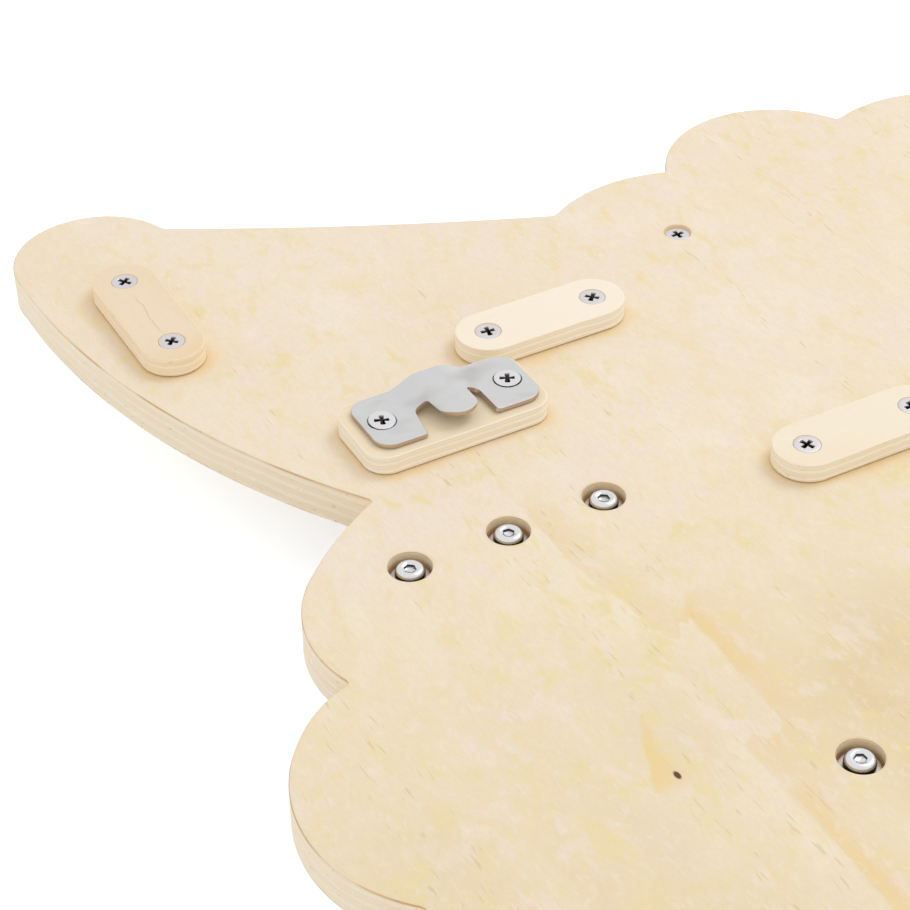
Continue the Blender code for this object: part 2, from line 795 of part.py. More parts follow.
def make_bead_rail(wood, steel, colours):
    """Two posts, a rod between them and the beads that slide on it."""
    make_posts(wood)
    half_span, row = place_on(RAIL_SHARES, 1)
    half = half_span - POST_RADIUS + ROD_SEAT_DEPTH - FIT
    mesh = mesh_from(lambda work: add_rod(work, ROD_RADIUS, -half, half), "rail_rod")
    make_object("rail_rod", mesh, (0, row, 0), steel, True)
    clear = 2 * (half_span - POST_RADIUS)
    cell = clear / BEAD_COUNT
    for index in range(BEAD_COUNT):
        name = "bead_%d" % (index + 1)
        x = index * cell - clear / 2 + FIT + BEAD_LENGTH / 2
        mesh = mesh_from(
            lambda work: add_turned(work, bead_profile(), BEAD_SIDES, ring=True, along_x=True), name
        )
        make_object(name, mesh, (x, row, ROD_HEIGHT), colours[index], True)


def main():
    """Builds the whole board."""
    birch = ((0.86, 0.74, 0.57), 0.55, 0.0)
    pale_birch = ((0.90, 0.80, 0.64), 0.55, 0.0)
    satin_steel = ((0.62, 0.60, 0.60), 0.35, 1.0)
    bright_steel = ((0.80, 0.80, 0.80), 0.20, 1.0)
    ochre = ((0.80, 0.48, 0.14), 0.45, 0.0)
    sage = ((0.33, 0.50, 0.36), 0.45, 0.0)
    slate_blue = ((0.22, 0.38, 0.55), 0.45, 0.0)
    colours = (ochre, sage, slate_blue)
    clear_scene()
    make_panel(birch)
    make_pads(pale_birch)
    make_hanger_blocks(pale_birch)
    make_hanging_plates(satin_steel)
    make_screws(pad_screw_places(), PAD_TOP, PAD_SCREW_LENGTH, satin_steel)
    make_screws(hanger_screw_places(), HANGER_SCREW_TOP, HANGER_SCREW_LENGTH, bright_steel)
    make_screws(rail_screw_places(), RAIL_SCREW_TOP, RAIL_SCREW_LENGTH, satin_steel)
    make_pivots(bright_steel)
    make_turning_pieces(colours)
    make_nose(ochre)
    make_bead_rail(pale_birch, bright_steel, colours)


main()
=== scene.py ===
import json
import math

import bmesh
import bpy
import numpy as np
from mathutils import Matrix, Vector
from mathutils.geometry import delaunay_2d_cdt


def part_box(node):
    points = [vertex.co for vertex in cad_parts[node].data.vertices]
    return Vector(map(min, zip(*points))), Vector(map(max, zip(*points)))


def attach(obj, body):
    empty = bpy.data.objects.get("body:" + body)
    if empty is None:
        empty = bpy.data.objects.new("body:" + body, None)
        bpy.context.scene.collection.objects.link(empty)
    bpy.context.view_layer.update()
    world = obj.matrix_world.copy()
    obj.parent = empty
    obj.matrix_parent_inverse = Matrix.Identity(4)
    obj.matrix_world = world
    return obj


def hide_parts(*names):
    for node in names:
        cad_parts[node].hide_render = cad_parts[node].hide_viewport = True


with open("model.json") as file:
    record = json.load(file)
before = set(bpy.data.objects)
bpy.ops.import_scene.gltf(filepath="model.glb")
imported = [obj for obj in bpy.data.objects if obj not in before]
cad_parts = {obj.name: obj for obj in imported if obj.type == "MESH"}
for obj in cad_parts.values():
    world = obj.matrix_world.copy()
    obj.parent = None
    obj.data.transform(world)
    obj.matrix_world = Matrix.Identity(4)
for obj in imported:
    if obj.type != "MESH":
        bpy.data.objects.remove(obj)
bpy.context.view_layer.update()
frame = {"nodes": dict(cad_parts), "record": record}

mm = 0.001
slotOf = {part["node"]: part["material_slot"] for part in frame["record"]["subparts"]}
bodyOf = {node: body for body, nodes in frame["record"]["behaviour"]["bodies"].items() for node in nodes}
sides = ("left", "right")
pivots = ("gear_1", "gear_2", "gear_3", "spinner", "wheel_left", "wheel_right")
pads = [kind + side for kind in ("ear_pad_", "brow_pad_", "eye_pad_") for side in sides]
print("frame loaded with", len(frame["nodes"]), "pieces")


def pairOf(stem):
    return [stem + "_1", stem + "_2"]


padScrews = [screw for pad in pads for screw in pairOf(pad + "_screw")]
hangerScrews = [screw for side in sides for screw in pairOf("hanger_screw_" + side)]
railScrews = ["rail_screw_" + side for side in sides]


def boxOf(node):  # lowest corner, highest corner and middle of a CAD piece
    low, high = (np.array(corner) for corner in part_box(node))
    return low, high, (low + high) / 2


def halfWidth(node):
    low, high, _ = boxOf(node)
    return (high[0] - low[0]) / 2


def camelName(words):  # rail_post_left becomes railPostLeft
    first, *rest = words.split("_")
    return first + "".join(word.capitalize() for word in rest)


def lengths(**told):  # settings told in millimetres, alone or in tuples, turned into metres
    def scaled(value):
        return tuple(scaled(part) for part in value) if isinstance(value, tuple) else value * mm
    return {key: scaled(value) for key, value in told.items()}


def addObject(name, data):
    made = bpy.data.objects.new(name, data)
    bpy.context.collection.objects.link(made)
    return made


# Surfaces: every shape below is worked out as whole arrays and welded into one closed mesh
weldDistance = 0.002 * mm


def newShape():
    return {"points": [], "wear": [], "cut": [], "faces": [], "count": 0}


def addPoints(shape, points, wear, cut, faces, slots):
    for key, value in (("points", points), ("wear", wear), ("cut", cut), ("faces", (faces, slots))):
        shape[key].append(value)
    shape["count"] += len(points)


# Rows and columns of points joined into quads. Two values on the points feed the materials: wear, which says
# how much an edge is rubbed or scorched or how much painted shade darkens a recess, and cut, which says how
# squarely the cut crosses the grain.
def addGrid(shape, grid, slot=0, wear=0.0, cut=0.0, closeRows=False):
    rows, columns = grid.shape[:2]
    index = shape["count"] + np.arange(rows * columns).reshape(rows, columns)
    index = np.vstack([index, index[:1]]) if closeRows else index
    index = np.hstack([index, index[:, :1]])
    quads = np.stack([index[:-1, :-1], index[:-1, 1:], index[1:, 1:], index[1:, :-1]], -1)
    perRow = np.broadcast_to(np.asarray(slot), len(quads))
    wear, cut = (np.asarray(value, float) for value in (wear, cut))
    wear, cut = (value[:, None] if value.ndim == 1 else value for value in (wear, cut))
    wear, cut = (np.broadcast_to(value, (rows, columns)).ravel() for value in (wear, cut))
    slots = np.repeat(perRow, quads.shape[1])
    addPoints(shape, grid.reshape(-1, 3), wear, cut, quads.reshape(-1, 4), slots)


# The ground between a closed outline and its round rims, cut into triangles and put in place
def addGround(shape, outline, rims, place, inside=()):
    loops = [outline] + [rim["loop"] for rim in rims]
    flat = np.vstack([*loops, *inside])
    starts = np.cumsum([0] + [len(loop) for loop in loops])
    edges = [(int(start + i), int(start + (i + 1) % len(loop)))
             for start, loop in zip(starts, loops) for i in range(len(loop))]
    made = delaunay_2d_cdt([Vector(point) for point in flat.tolist()], edges, [], 1, 1e-8)
    flat = np.array([tuple(point) for point in made[0]])
    corners = np.array(made[2])
    for rim in rims:  # a triangle whose corners all stand on one rim lies in the hole
        onRim = np.abs(np.hypot(*(flat - rim["centre"]).T) - rim["radius"]) < weldDistance
        corners = corners[~onRim[corners].all(1)]
    none, slots = np.zeros(len(flat)), np.zeros(len(corners), int)
    addPoints(shape, place(flat), none, none, corners + shape["count"], slots)


# The mesh of a shape, with points that meet welded and every face turned outwards
def meshOf(shape, name):
    faces = [face for run, _ in shape["faces"] for face in run.tolist()]
    slots = np.concatenate([slot for _, slot in shape["faces"]])
    mesh = bpy.data.meshes.new(name)
    mesh.from_pydata(np.vstack(shape["points"]).tolist(), [], faces)
    mesh.polygons.foreach_set("material_index", slots.astype(np.int32))
    for key in ("wear", "cut"):
        layer = mesh.attributes.new(key, "FLOAT", "POINT")
        layer.data.foreach_set("value", np.concatenate(shape[key]).astype(np.float32))
    work = bmesh.new()
    work.from_mesh(mesh)
    bmesh.ops.remove_doubles(work, verts=work.verts, dist=weldDistance)
    bmesh.ops.recalc_face_normals(work, faces=work.faces)
    openEdges = sum(not edge.is_manifold for edge in work.edges)
    work.to_mesh(mesh)
    work.free()
    if openEdges:
        print("open edges on", name, openEdges)
    return mesh


def finishPiece(shape, node, materials, name=None, sharp=38):  # stands in for its CAD piece
    name = name or camelName(node)
    mesh = meshOf(shape, name)
    mesh.shade_smooth()
    mesh.set_sharp_from_angle(angle=math.radians(sharp))
    for material in materials:
        mesh.materials.append(material)
    piece = addObject(name, mesh)
    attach(piece, bodyOf[node])
    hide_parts(node)
    return piece


# Corners of an outline or profile made round: each becomes an arc that touches both its sides
def roundCorners(points, radii, steps=6, closed=True):
    points = np.asarray(points, float)
    radii = np.broadcast_to(np.asarray(radii, float), len(points))[:, None]
    before = np.roll(points, 1, 0) - points
    after = np.roll(points, -1, 0) - points
    longBefore, longAfter = (np.linalg.norm(side, axis=1, keepdims=True) for side in (before, after))
    before, after = before / longBefore, after / longAfter
    half = np.arccos(np.clip((before * after).sum(1, keepdims=True), -1, 1)) / 2
    half = np.clip(half, 0.02, math.pi / 2 - 0.002)
    reach = np.minimum(radii / np.tan(half), 0.495 * np.minimum(longBefore, longAfter))
    radii = reach * np.tan(half)
    middle = before + after
    middle /= np.maximum(np.linalg.norm(middle, axis=1, keepdims=True), 1e-9)
    centre = points + middle * radii / np.sin(half)
    first, last = points + before * reach - centre, points + after * reach - centre
    swing = math.pi - 2 * half[:, None]
    share = np.linspace(0, 1, steps)[None, :, None]
    arcs = np.sin((1 - share) * swing) * first[:, None] + np.sin(share * swing) * last[:, None]
    arcs = centre[:, None] + arcs / np.sin(swing)
    if closed:
        return arcs.reshape(-1, 2)
    return np.vstack([points[:1], arcs[1:-1].reshape(-1, 2), points[-1:]])


def spread(outline, step):  # a closed outline with points about a step apart on its long sides
    ends = np.roll(outline, -1, 0)
    counts = np.maximum((np.linalg.norm(ends - outline, axis=1) / step).astype(int), 1)
    return np.vstack([start + (end - start) * np.linspace(0, 1, count, endpoint=False)[:, None]
                      for start, end, count in zip(outline, ends, counts)])


# Every point of a counterclockwise outline moved inwards, square to the outline there
def inwards(outline):
    ahead = np.roll(outline, -1, 0) - outline
    behind = outline - np.roll(outline, 1, 0)
    along = ahead / np.linalg.norm(ahead, axis=1)[:, None]
    along = along + behind / np.linalg.norm(behind, axis=1)[:, None]
    along /= np.linalg.norm(along, axis=1)[:, None]
    return np.column_stack([-along[:, 1], along[:, 0]])


# Smooth chance along a closed line: white noise with its short waves faded out by a bell curve
def smoothChance(count, waves, seed):
    noise = np.fft.rfft(np.random.default_rng(seed).normal(size=count))
    noise *= np.exp(-(np.arange(len(noise)) / waves) ** 2)
    line = np.fft.irfft(noise, count)
    return line / np.abs(line).max()


def ringAt(centre, radius, count):
    angle = np.linspace(0, math.tau, count, endpoint=False)
    return np.column_stack([centre[0] + radius * np.cos(angle), centre[1] + radius * np.sin(angle)])


# Rings joined from the first to the last, each a radius for every angle and a height, about an
# upright axis or one along X
def addRings(shape, radii, heights, centre, angle, slot=0, wear=0.0, closeRows=False, alongX=False):
    across, up = radii * np.cos(angle), radii * np.sin(angle)
    heights = np.broadcast_to(heights[:, None] if heights.ndim == 1 else heights, across.shape)
    grid = np.stack([heights, across, up] if alongX else [across, up, heights], -1)
    addGrid(shape, grid + np.resize(centre, 3) * (1, 1, len(centre) > 2), slot, wear, 0.0, closeRows)


# A profile of (radius, height) carried round an axis
def addTurned(shape, profile, centre, count, **more):
    radius, height = np.asarray(profile, float).T
    angle = np.linspace(0, math.tau, count, endpoint=False)
    addRings(shape, np.repeat(radius[:, None], count, 1), height, centre, angle, **more)


def turnPiece(node, profile, count, materials, name=None, alongX=False, **more):
    shape, middle = newShape(), boxOf(node)[2]
    addTurned(shape, profile, middle if alongX else middle[:2], count, alongX=alongX, **more)
    return finishPiece(shape, node, materials, name)


# A flat piece cut from a sheet: a rim profile carried along the outline, a turned profile in
# each hole, and the two faces between them. Plies stand a little in and out along the rim.
def makeSlab(node, outline, holes, settings, materials, name=None):
    low, high = boxOf(node)[0][2], boxOf(node)[1][2]
    arris, land = settings["arris"], settings["arris"] + settings["land"]
    turn = np.linspace(0, math.pi / 2, 5)
    rise, inset = arris * (1 - np.cos(turn)), arris * (1 - np.sin(turn))
    wall = np.linspace(low + arris, high - arris, settings["wallRows"])[1:-1]
    heights = np.r_[low, low + rise, wall, high - rise[::-1], high]
    insets = np.r_[land, inset, 0 * wall, inset[::-1], land]
    count = len(outline)
    plies = 0.5 - 0.5 * np.cos(math.tau * (heights - low) / settings["plyPair"])
    plies[:2] = plies[-2:] = 0
    inner = inwards(outline)
    rough = smoothChance(count, count / 5, settings["seed"])
    depth = settings["plyDepth"] * plies[:, None] * (0.75 + 0.25 * rough[None, :])
    line = outline[None] + inner[None] * (insets[:, None] + depth)[..., None]
    grid = np.dstack([line, np.repeat(heights[:, None], count, 1)])
    near = np.minimum(heights - low, high - heights)
    wear = np.exp(-((near / arris - 0.6) / settings["scorchWidth"]) ** 2) * (near > 0)
    slots = np.ones(len(heights) - 1, int)
    slots[0] = slots[-1] = 0
    shape = newShape()
    addGrid(shape, grid, slots, wear, np.abs(inner[None, :, 1]))
    rims = {low: [], high: []}
    for hole in holes:
        rows = np.asarray(hole["rows"], float)
        centre, count = np.asarray(hole["centre"]), hole.get("count", 64)
        addTurned(shape, rows, centre, count, slot=hole["slots"], wear=hole.get("wear", 0.0))
        for radius, height in (rows[0], rows[-1]):
            for face, found in rims.items():
                if radius > 0 and abs(height - face) < 1e-6:
                    found.append({"loop": ringAt(centre, radius, count), "centre": centre, "radius": radius})
    for face, found in rims.items():
        addGround(shape, outline + inner * land, found,
                  lambda flat: np.column_stack([flat, np.full(len(flat), face)]))
    finishPiece(shape, node, materials, name)


# Materials: the helpers below add nodes to the tree on the bench. They hand back outputs that are
# added, subtracted, multiplied and divided like numbers.
bench = {"tree": None}


class nodeValue:  # a node's output
    def __init__(self, socket):
        self.socket = socket

    def __add__(self, other):
        return maths("ADD", self, other)

    def __sub__(self, other):
        return maths("SUBTRACT", self, other)

    def __rsub__(self, other):
        return maths("SUBTRACT", other, self)

    def __mul__(self, other):
        return maths("MULTIPLY", self, other)

    def __truediv__(self, other):
        return maths("DIVIDE", self, other)


def feed(inputs, key, value):  # an output is linked to the input, a constant is set on it
    if isinstance(value, nodeValue):
        bench["tree"].links.new(value.socket, inputs[key])
    else:
        inputs[key].default_value = value


def addNode(kind, inputs=None, output=0, **settings):
    made = bench["tree"].nodes.new(kind)
    for key, value in settings.items():
        setattr(made, key, value)
    for key, value in (inputs or {}).items():
        feed(made.inputs, key, value)
    return nodeValue(made.outputs[output])


def maths(operation, first, second=0.0):
    return addNode("ShaderNodeMath", {0: first, 1: second}, operation=operation)


def vectors(operation, first, second=(0, 0, 0)):
    output = "Value" if operation in ("LENGTH", "DISTANCE") else 0
    return addNode("ShaderNodeVectorMath", {0: first, 1: second}, output, operation=operation)


def spotOf(scale=(1, 1, 1), shift=(0, 0, 0), place=None):  # place on the object, in cycles per metre
    place = place or addNode("ShaderNodeTexCoord", output="Object")
    return addNode("ShaderNodeMapping", {"Vector": place, "Scale": scale, "Location": shift})


def axesOf(shift=(0, 0, 0)):  # the place's x, y and z
    split = addNode("ShaderNodeSeparateXYZ", {0: spotOf(shift=shift)}).socket.node
    return [nodeValue(socket) for socket in split.outputs]


def cloud(scale, detail=2.0, distortion=0.0, roughness=0.5, shift=(0, 0, 0), place=None):
    inputs = {"Vector": spotOf(scale, shift, place), "Scale": 1.0, "Detail": detail,
              "Distortion": distortion, "Roughness": roughness}
    return addNode("ShaderNodeTexNoise", inputs)


def ripple(scale, reach, **more):  # noise that swings about zero
    return (cloud(scale, **more) - 0.5) * reach


def ease(value, start, end, low=0.0, high=1.0):  # smooth step from start to end
    inputs = {0: value, 1: start, 2: end, 3: low, 4: high}
    return addNode("ShaderNodeMapRange", inputs, interpolation_type="SMOOTHSTEP")


# Patches of noise, told as cycles per metre on each axis, detail, distortion and the two values
# between which the patches ease in
def patches(noise, low=0.0, high=1.0, **more):
    *told, start, end = noise
    return ease(cloud(*told, **more), start, end, low, high)


def srgb(tone):  # a colour as a picture gives it, turned into light values
    values = np.array(tone) / 255
    values = np.where(values <= 0.04045, values / 12.92, ((values + 0.055) / 1.055) ** 2.4)
    return (*values.tolist(), 1.0)


def tint(factor, under, over):
    under, over = (srgb(tone) if isinstance(tone, tuple) else tone for tone in (under, over))
    return addNode("ShaderNodeMix", {0: factor, 6: under, 7: over}, 2, data_type="RGBA")


def laid(colour, *coats):  # coats of (factor, tone) laid over a colour one after another
    for factor, tone in coats:
        colour = tint(factor, colour, tone)
    return colour


def worn(key):
    return addNode("ShaderNodeAttribute", output="Fac", attribute_name=key)


def inputsOf(material):
    return material.node_tree.nodes["Principled BSDF"].inputs


def newMaterial(name, roughness, metallic=0.0):
    material = bpy.data.materials.new(name)
    material.use_nodes = True
    bench["tree"] = material.node_tree
    feed(inputsOf(material), "Roughness", roughness)
    feed(inputsOf(material), "Metallic", metallic)
    return material


def cover(material, colour, height, distance):  # gives a material its colour and bump
    bump = addNode("ShaderNodeBump", {"Height": height, "Distance": distance, "Strength": 1.0})
    feed(inputsOf(material), "Base Color", colour)
    feed(inputsOf(material), "Normal", bump)
    return material


birchTones = {
    "base": (242, 227, 202), "warm": (240, 220, 189), "pink": (241, 225, 212), "pale": (245, 235, 217),
    "flame": (238, 211, 171), "streak": (239, 211, 145), "mottle": (238, 218, 157),
    "fleck": (214, 194, 136), "fibre": (226, 206, 172), "scorch": (204, 146, 48), "knot": (88, 50, 26)}
# Noise across and along the grain, detail, distortion, roughness and the values it eases between
birchNoise = {
    "warm": (15, 8, 3.0, 0.6, 0.5, 0.46, 0.70), "pink": (44, 24, 3.0, 0.4, 0.5, 0.47, 0.68),
    "pale": (62, 28, 3.0, 0.6, 0.5, 0.52, 0.70), "flame": (9, 5, 1.0, 0.0, 0.5, 0.44, 0.60),
    "streak": (26, 13, 1.0, 0.0, 0.5, 0.50, 0.64), "lots": (17, 11, 1.5, 0.0, 0.5, 0.36, 0.60),
    "mottle": (150, 84, 4.0, 0.5, 0.6, 0.50, 0.68), "blush": (120, 76, 3.0, 0.4, 0.6, 0.46, 0.34),
    "rows": (75, 5, 2.0, 0.0, 0.5, 0.53, 0.64), "fleck": (1100, 130, 1.0, 0.3, 0.5, 0.64, 0.74)}
birchRings = {"teeth": (150, 14), "slip": 26 * mm, "rise": 0.35, "broad": (9, 2.6), "broadFade": 1.8,
              "fine": (34, 11), "fineRings": 4.0, "fineFade": 2.6}


# Birch face: soft patches and a fine mottling of yellow and pink, growth rings that rise within a
# third of their width and then fade away, and short dark flecks in rows. The rings read a place
# that slips along the grain by a noise that changes fast across it, which cuts them into teeth.
def birchFace(name, settings):
    material = newMaterial(name, settings["roughness"])
    tones = {**birchTones, **settings["tones"]}
    turned, amount = settings["alongX"], settings["mottle"]

    def grain(across, along, *rest, **more):
        scale = (along, across, across) if turned else (across, along, across)
        return cloud(scale, *rest, shift=settings["shift"], **more)

    def patch(key, low=0.0, high=1.0):
        *noise, start, end = birchNoise[key]
        return ease(grain(*noise), start, end, low, high)

    def ringed(key, rings):
        saw = maths("FRACT", grain(*birchRings[key], 1.0, 0.5, place=teeth) * rings)
        return ease(saw, 0.0, birchRings["rise"]) * maths("POWER", 1.0 - saw, birchRings[key + "Fade"])

    slip = (grain(*birchRings["teeth"]) - 0.5) * birchRings["slip"]
    teeth = vectors("ADD", spotOf(), addNode("ShaderNodeCombineXYZ", {0 if turned else 1: slip}))
    flames = ringed("broad", settings["rings"]) * patch("flame", 0.12, settings["flame"])
    streaks = ringed("fine", birchRings["fineRings"]) * patch("streak", 0.0, settings["streak"])
    colour = laid(
        tones["base"], (patch("warm"), tones["warm"]), (patch("pink", 0, 0.65), tones["pink"]),
        (patch("pale", 0, 0.7), tones["pale"]), (flames, tones["flame"]), (streaks, tones["streak"]))
    for under in settings.get("under", ()):
        colour = under(colour)
    speck, fibre = grain(430, 270, 4.0, 0.6, 0.65), grain(1700, 420, 3.0, 0.2)
    colour = laid(
        colour, (patch("mottle", 0, amount) * patch("lots", 0.5, 1), tones["mottle"]),
        (patch("blush", 0, amount) * 0.8, tones["pink"]),
        (ease(speck, 0.50, 0.66, 0, 0.28 * amount), tones["mottle"]),
        (ease(speck, 0.48, 0.34, 0, 0.40 * amount), tones["pale"]),
        (patch("fleck", 0, settings["fleck"]) * patch("rows"), tones["fleck"]),
        (ease(fibre, 0.35, 0.75, 0, settings["fibre"]), tones["fibre"]))
    for extra in settings.get("extras", ()):
        colour = extra(colour)
    scorched = worn("wear") * patches(((60, 60, 60), 0.3, 0.7), 0, settings["scorch"])
    return cover(material, tint(scorched, colour, tones["scorch"]), fibre, settings["bump"])


plyTones = {"light": (254, 238, 212), "dark": (251, 232, 201), "end": (246, 217, 174),
            "glue": (226, 200, 156), "chip": (255, 246, 226), "pore": (206, 180, 136)}
plyNoise = {"long": ((26, 26, 420), 3.0, 0.4, 0.36, 0.64), "dots": ((560, 560, 1500), 2.0, 0.3, 0.55, 0.60),
            "lines": ((30, 30, 200), 0.35, 0.6), "broken": ((38, 38, 38), 3.0, 0.34, 0.60)}


# Plywood rim: light and dark plies in turn by height, wavy along the rim, with glue lines,
# pale chips, dark pores and a scorched line on both arrises.
def plyRim(name, settings):
    material = newMaterial(name, 0.7)
    tones = {**plyTones, **settings.get("tones", {})}
    even, chip = settings["even"], settings["chip"]
    height = axesOf((0, 0, settings["lift"]))[2]
    phase = maths("FRACT", height / settings["plyPair"] + ripple((55, 55, 20), 0.9))
    swing = maths("ABSOLUTE", phase - 0.5)
    band, long = ease(swing, 0.17, 0.33), patches(plyNoise["long"])
    glue = ease(maths("ABSOLUTE", swing - 0.25), 0.035, 0.0) * settings["glue"]
    speck = cloud((520, 520, 950))
    lines = ease(swing, 0.30, 0.38) * patches(plyNoise["lines"])
    chips = maths("MAXIMUM", patches(plyNoise["dots"]) * lines * chip, ease(speck, 0.68, 0.76, 0, chip))
    broken = patches(plyNoise["broken"], 0.1, settings["scorch"])
    colour = laid(
        tones["dark"], (band * even + long * (1 - even), tones["light"]), (glue, tones["glue"]),
        (worn("cut") * (1.0 - band) * settings["end"], tones["end"]), (chips, tones["chip"]),
        (ease(speck, 0.34, 0.27, 0, settings["pore"]), tones["pore"]),
        (worn("wear") * broken, birchTones["scorch"]))
    return cover(material, colour, speck + long, 0.06 * mm)


def drilledWood(name):  # tan, in fine rings by height, darker on the scorched rim and darkened as painted shade deep in counterbores and countersinks
    material = newMaterial(name, 0.75)
    rings = cloud((90, 90, 1800), 2.0, 0.3)
    colour = laid((255, 239, 207), (ease(rings, 0.40, 0.60), (255, 226, 178)),
                  (ease(worn("wear"), 0.0, 1.0, 0, 0.7), (202, 150, 94)))
    return cover(material, colour, rings, 0.05 * mm)


# Metal: one colour with faint cloudy stains, painted shade where the wear values are high (screw recesses,
# bolt and sleeve sockets, bolt head sides), fine scratches in the bump and uneven polish
def metal(name, colour, stained, soot, amount, roughness, scratch):
    material = newMaterial(name, roughness, 1.0)
    stain = cloud((85, 110, 85), 1.5, 0.3)
    colour = laid(colour, (ease(stain, 0.46, 0.80, 0, amount), stained),
                  (ease(worn("wear"), 0.1, 0.9), soot))
    feed(inputsOf(material), "Roughness", ease(stain, 0.3, 0.7, roughness - 0.06, roughness + 0.08))
    return cover(material, colour, cloud((2600, 240, 900), 2.0, 0.3), scratch)


# Paint on wood: brush and grain just showing through, rubbed to the wood along the edges
def painted(name, colour, shade):
    material = newMaterial(name, 0.42)
    grain = cloud((700, 45, 700), 3.0, 0.3)
    rub = worn("wear") * patches(((240, 240, 240), 3.0, 0.5, 0.62))
    colour = laid(colour, (patches(((30, 12, 30), 3.0, 0.35, 0.7), 0, 0.5), shade),
                  (ease(grain, 0.5, 0.75, 0, 0.22), shade), (rub, (222, 190, 140)))
    return cover(material, colour, grain, 0.04 * mm)


def turnedBeech(name):  # warm, with short dark rays and fine rings from the tool
    material = newMaterial(name, 0.5)
    rings = cloud((35, 35, 600), 2.0, 0.3)
    colour = laid((226, 190, 146), (ease(rings, 0.35, 0.7), (208, 166, 118)),
                  (patches(((900, 900, 160), 1.0, 0.64, 0.74), 0, 0.6), (160, 112, 70)))
    return cover(material, colour, rings, 0.04 * mm)


steel = {  # colour, stains, painted shade, how much is stained, roughness, depth of the scratches
    "satin": ((215, 211, 212), (198, 193, 196), (58, 48, 44), 0.5, 0.42, 0.006 * mm),
    "plate": ((208, 208, 208), (182, 178, 175), (120, 104, 92), 0.7, 0.36, 0.004 * mm),
    # cut: the plate's cut edges, tan as a painted reflection of the wood beside them and painted shade
    "cut": ((198, 178, 162), (170, 148, 130), (90, 74, 64), 0.8, 0.5, 0.02 * mm),
    "washer": ((226, 222, 228), (206, 202, 208), (64, 60, 58), 0.4, 0.5, 0.006 * mm),
    "bright": ((222, 222, 224), (198, 198, 199), (54, 48, 46), 0.5, 0.22, 0.004 * mm)}
satinSteel, plateSteel, cutSteelWithPaintedReflection, washerSteel, brightZinc = (
    metal(key + "Steel", *settings) for key, settings in steel.items())
holeWall = drilledWood("drilledWood")
beech = turnedBeech("turnedBeech")
ochre = painted("ochrePaint", (230, 178, 96), (206, 148, 66))
sage = painted("sagePaint", (156, 187, 160), (124, 160, 132))
slate = painted("slatePaint", (130, 166, 196), (98, 138, 172))
paintOf = {"ochre_paint": ochre, "sage_paint": sage, "slate_paint": slate}
print("materials made")


# Panel: the outline's left half as arcs between points, given as shares of the half width, the
# half height and the arc's swell over its chord. Notches lists the points that are eased.
panel = {
    "outlineShares": (
        (0.0, 0.7685, 0.1432), (-0.1286, 0.6635, 0.1206), (-0.2973, 0.641, -0.0165),
        (-0.7178, 0.9095, 0.174), (-0.8147, 1.0, 0.2235), (-0.9081, 0.8685, 0.0805),
        (-0.7347, 0.1565, 0.037), (-0.8378, 0.0635, 0.165), (-0.8776, -0.141, 0.072),
        (-0.9517, -0.1975, 0.219), (-0.9459, -0.5015, 0.30), (-0.7722, -0.7915, 0.20),
        (-0.4556, -0.9015, 0.0412), (0.0, -1.0, 0.0)),
    "notches": (1, 2, 3, 6, 8, 10, 11, 12), "arcSteps": 40, "wallRows": 24, "seed": 11, "scorchWidth": 0.6,
    **lengths(notchEase=1.6, margin=0.01, arris=0.35, land=1.0, plyPair=3.4, plyDepth=0.07,
              eyeRadius=11.5, eyeRise=-10.3, eyeSide=63.2, eyeBlur=0.3)}


def arcRun(start, end, swell, share):  # points on the arc from start to end, at shares of its turn
    chord = end - start
    length = np.hypot(*chord)
    rise = swell * length
    radius = (length ** 2 / 4 + rise ** 2) / (2 * rise)
    centre = (start + end) / 2 + np.array([chord[1], -chord[0]]) / length * (rise - radius)
    first = math.atan2(*(start - centre)[::-1])
    angle = first + 4 * math.atan(2 * swell) * share
    return centre + abs(radius) * np.column_stack([np.cos(angle), np.sin(angle)])


def panelOutline(half):
    shares = np.array(panel["outlineShares"])
    places, swells = shares[:, :2] * half, shares[:, 2]
    share = np.linspace(0, 1, panel["arcSteps"] + 1)
    runs = []
    for index in range(len(places) - 1):
        trim = panel["notchEase"] / np.hypot(*(places[index + 1] - places[index]))
        start = trim if index in panel["notches"] else 0.0
        end = 1 - trim if index + 1 in panel["notches"] else 1.0
        runs.append(arcRun(places[index], places[index + 1], swells[index], start + (end - start) * share))
    line = [runs[0]]
    bend = np.linspace(0, 1, 8)[1:-1, None]
    for index in range(1, len(runs)):
        near, corner, far = runs[index - 1][-1], places[index], runs[index][0]
        if index in panel["notches"]:
            line.append((1 - bend) ** 2 * near + 2 * bend * (1 - bend) * corner + bend ** 2 * far)
            line.append(runs[index])
        else:
            line.append(runs[index][1:])
    line = np.vstack(line)
    return np.vstack([line, line[-2:0:-1] * (-1, 1)])


def paintedEyes(colour):  # two round eyes on the front face, each with a pale glint
    place, face, eye = spotOf(), boxOf("board_panel")[0][2], panel["eyeRadius"]
    for sign in (-1, 1):
        for shift, radius, shade in ((0, eye, (58, 48, 44)), (eye / 3, eye / 4, (240, 232, 220))):
            spot = (sign * panel["eyeSide"] + shift, panel["eyeRise"] + shift, face)
            inside = ease(vectors("DISTANCE", place, spot), radius, radius - panel["eyeBlur"])
            colour = tint(inside, colour, shade)
    return colour


def onBack():  # 1 on the panel's back face, 0 on its front face
    middle = boxOf("board_panel")[2][2]
    return ease(axesOf()[2], middle - 1 * mm, middle + 1 * mm)


knot = {"stretch": 0.55, "lean": 0.45, "narrowing": 0.28, "wedge": (239, 207, 134),
        **lengths(place=(-175.1, -93.3), wave=5, reach=6.7, width=7.5)}


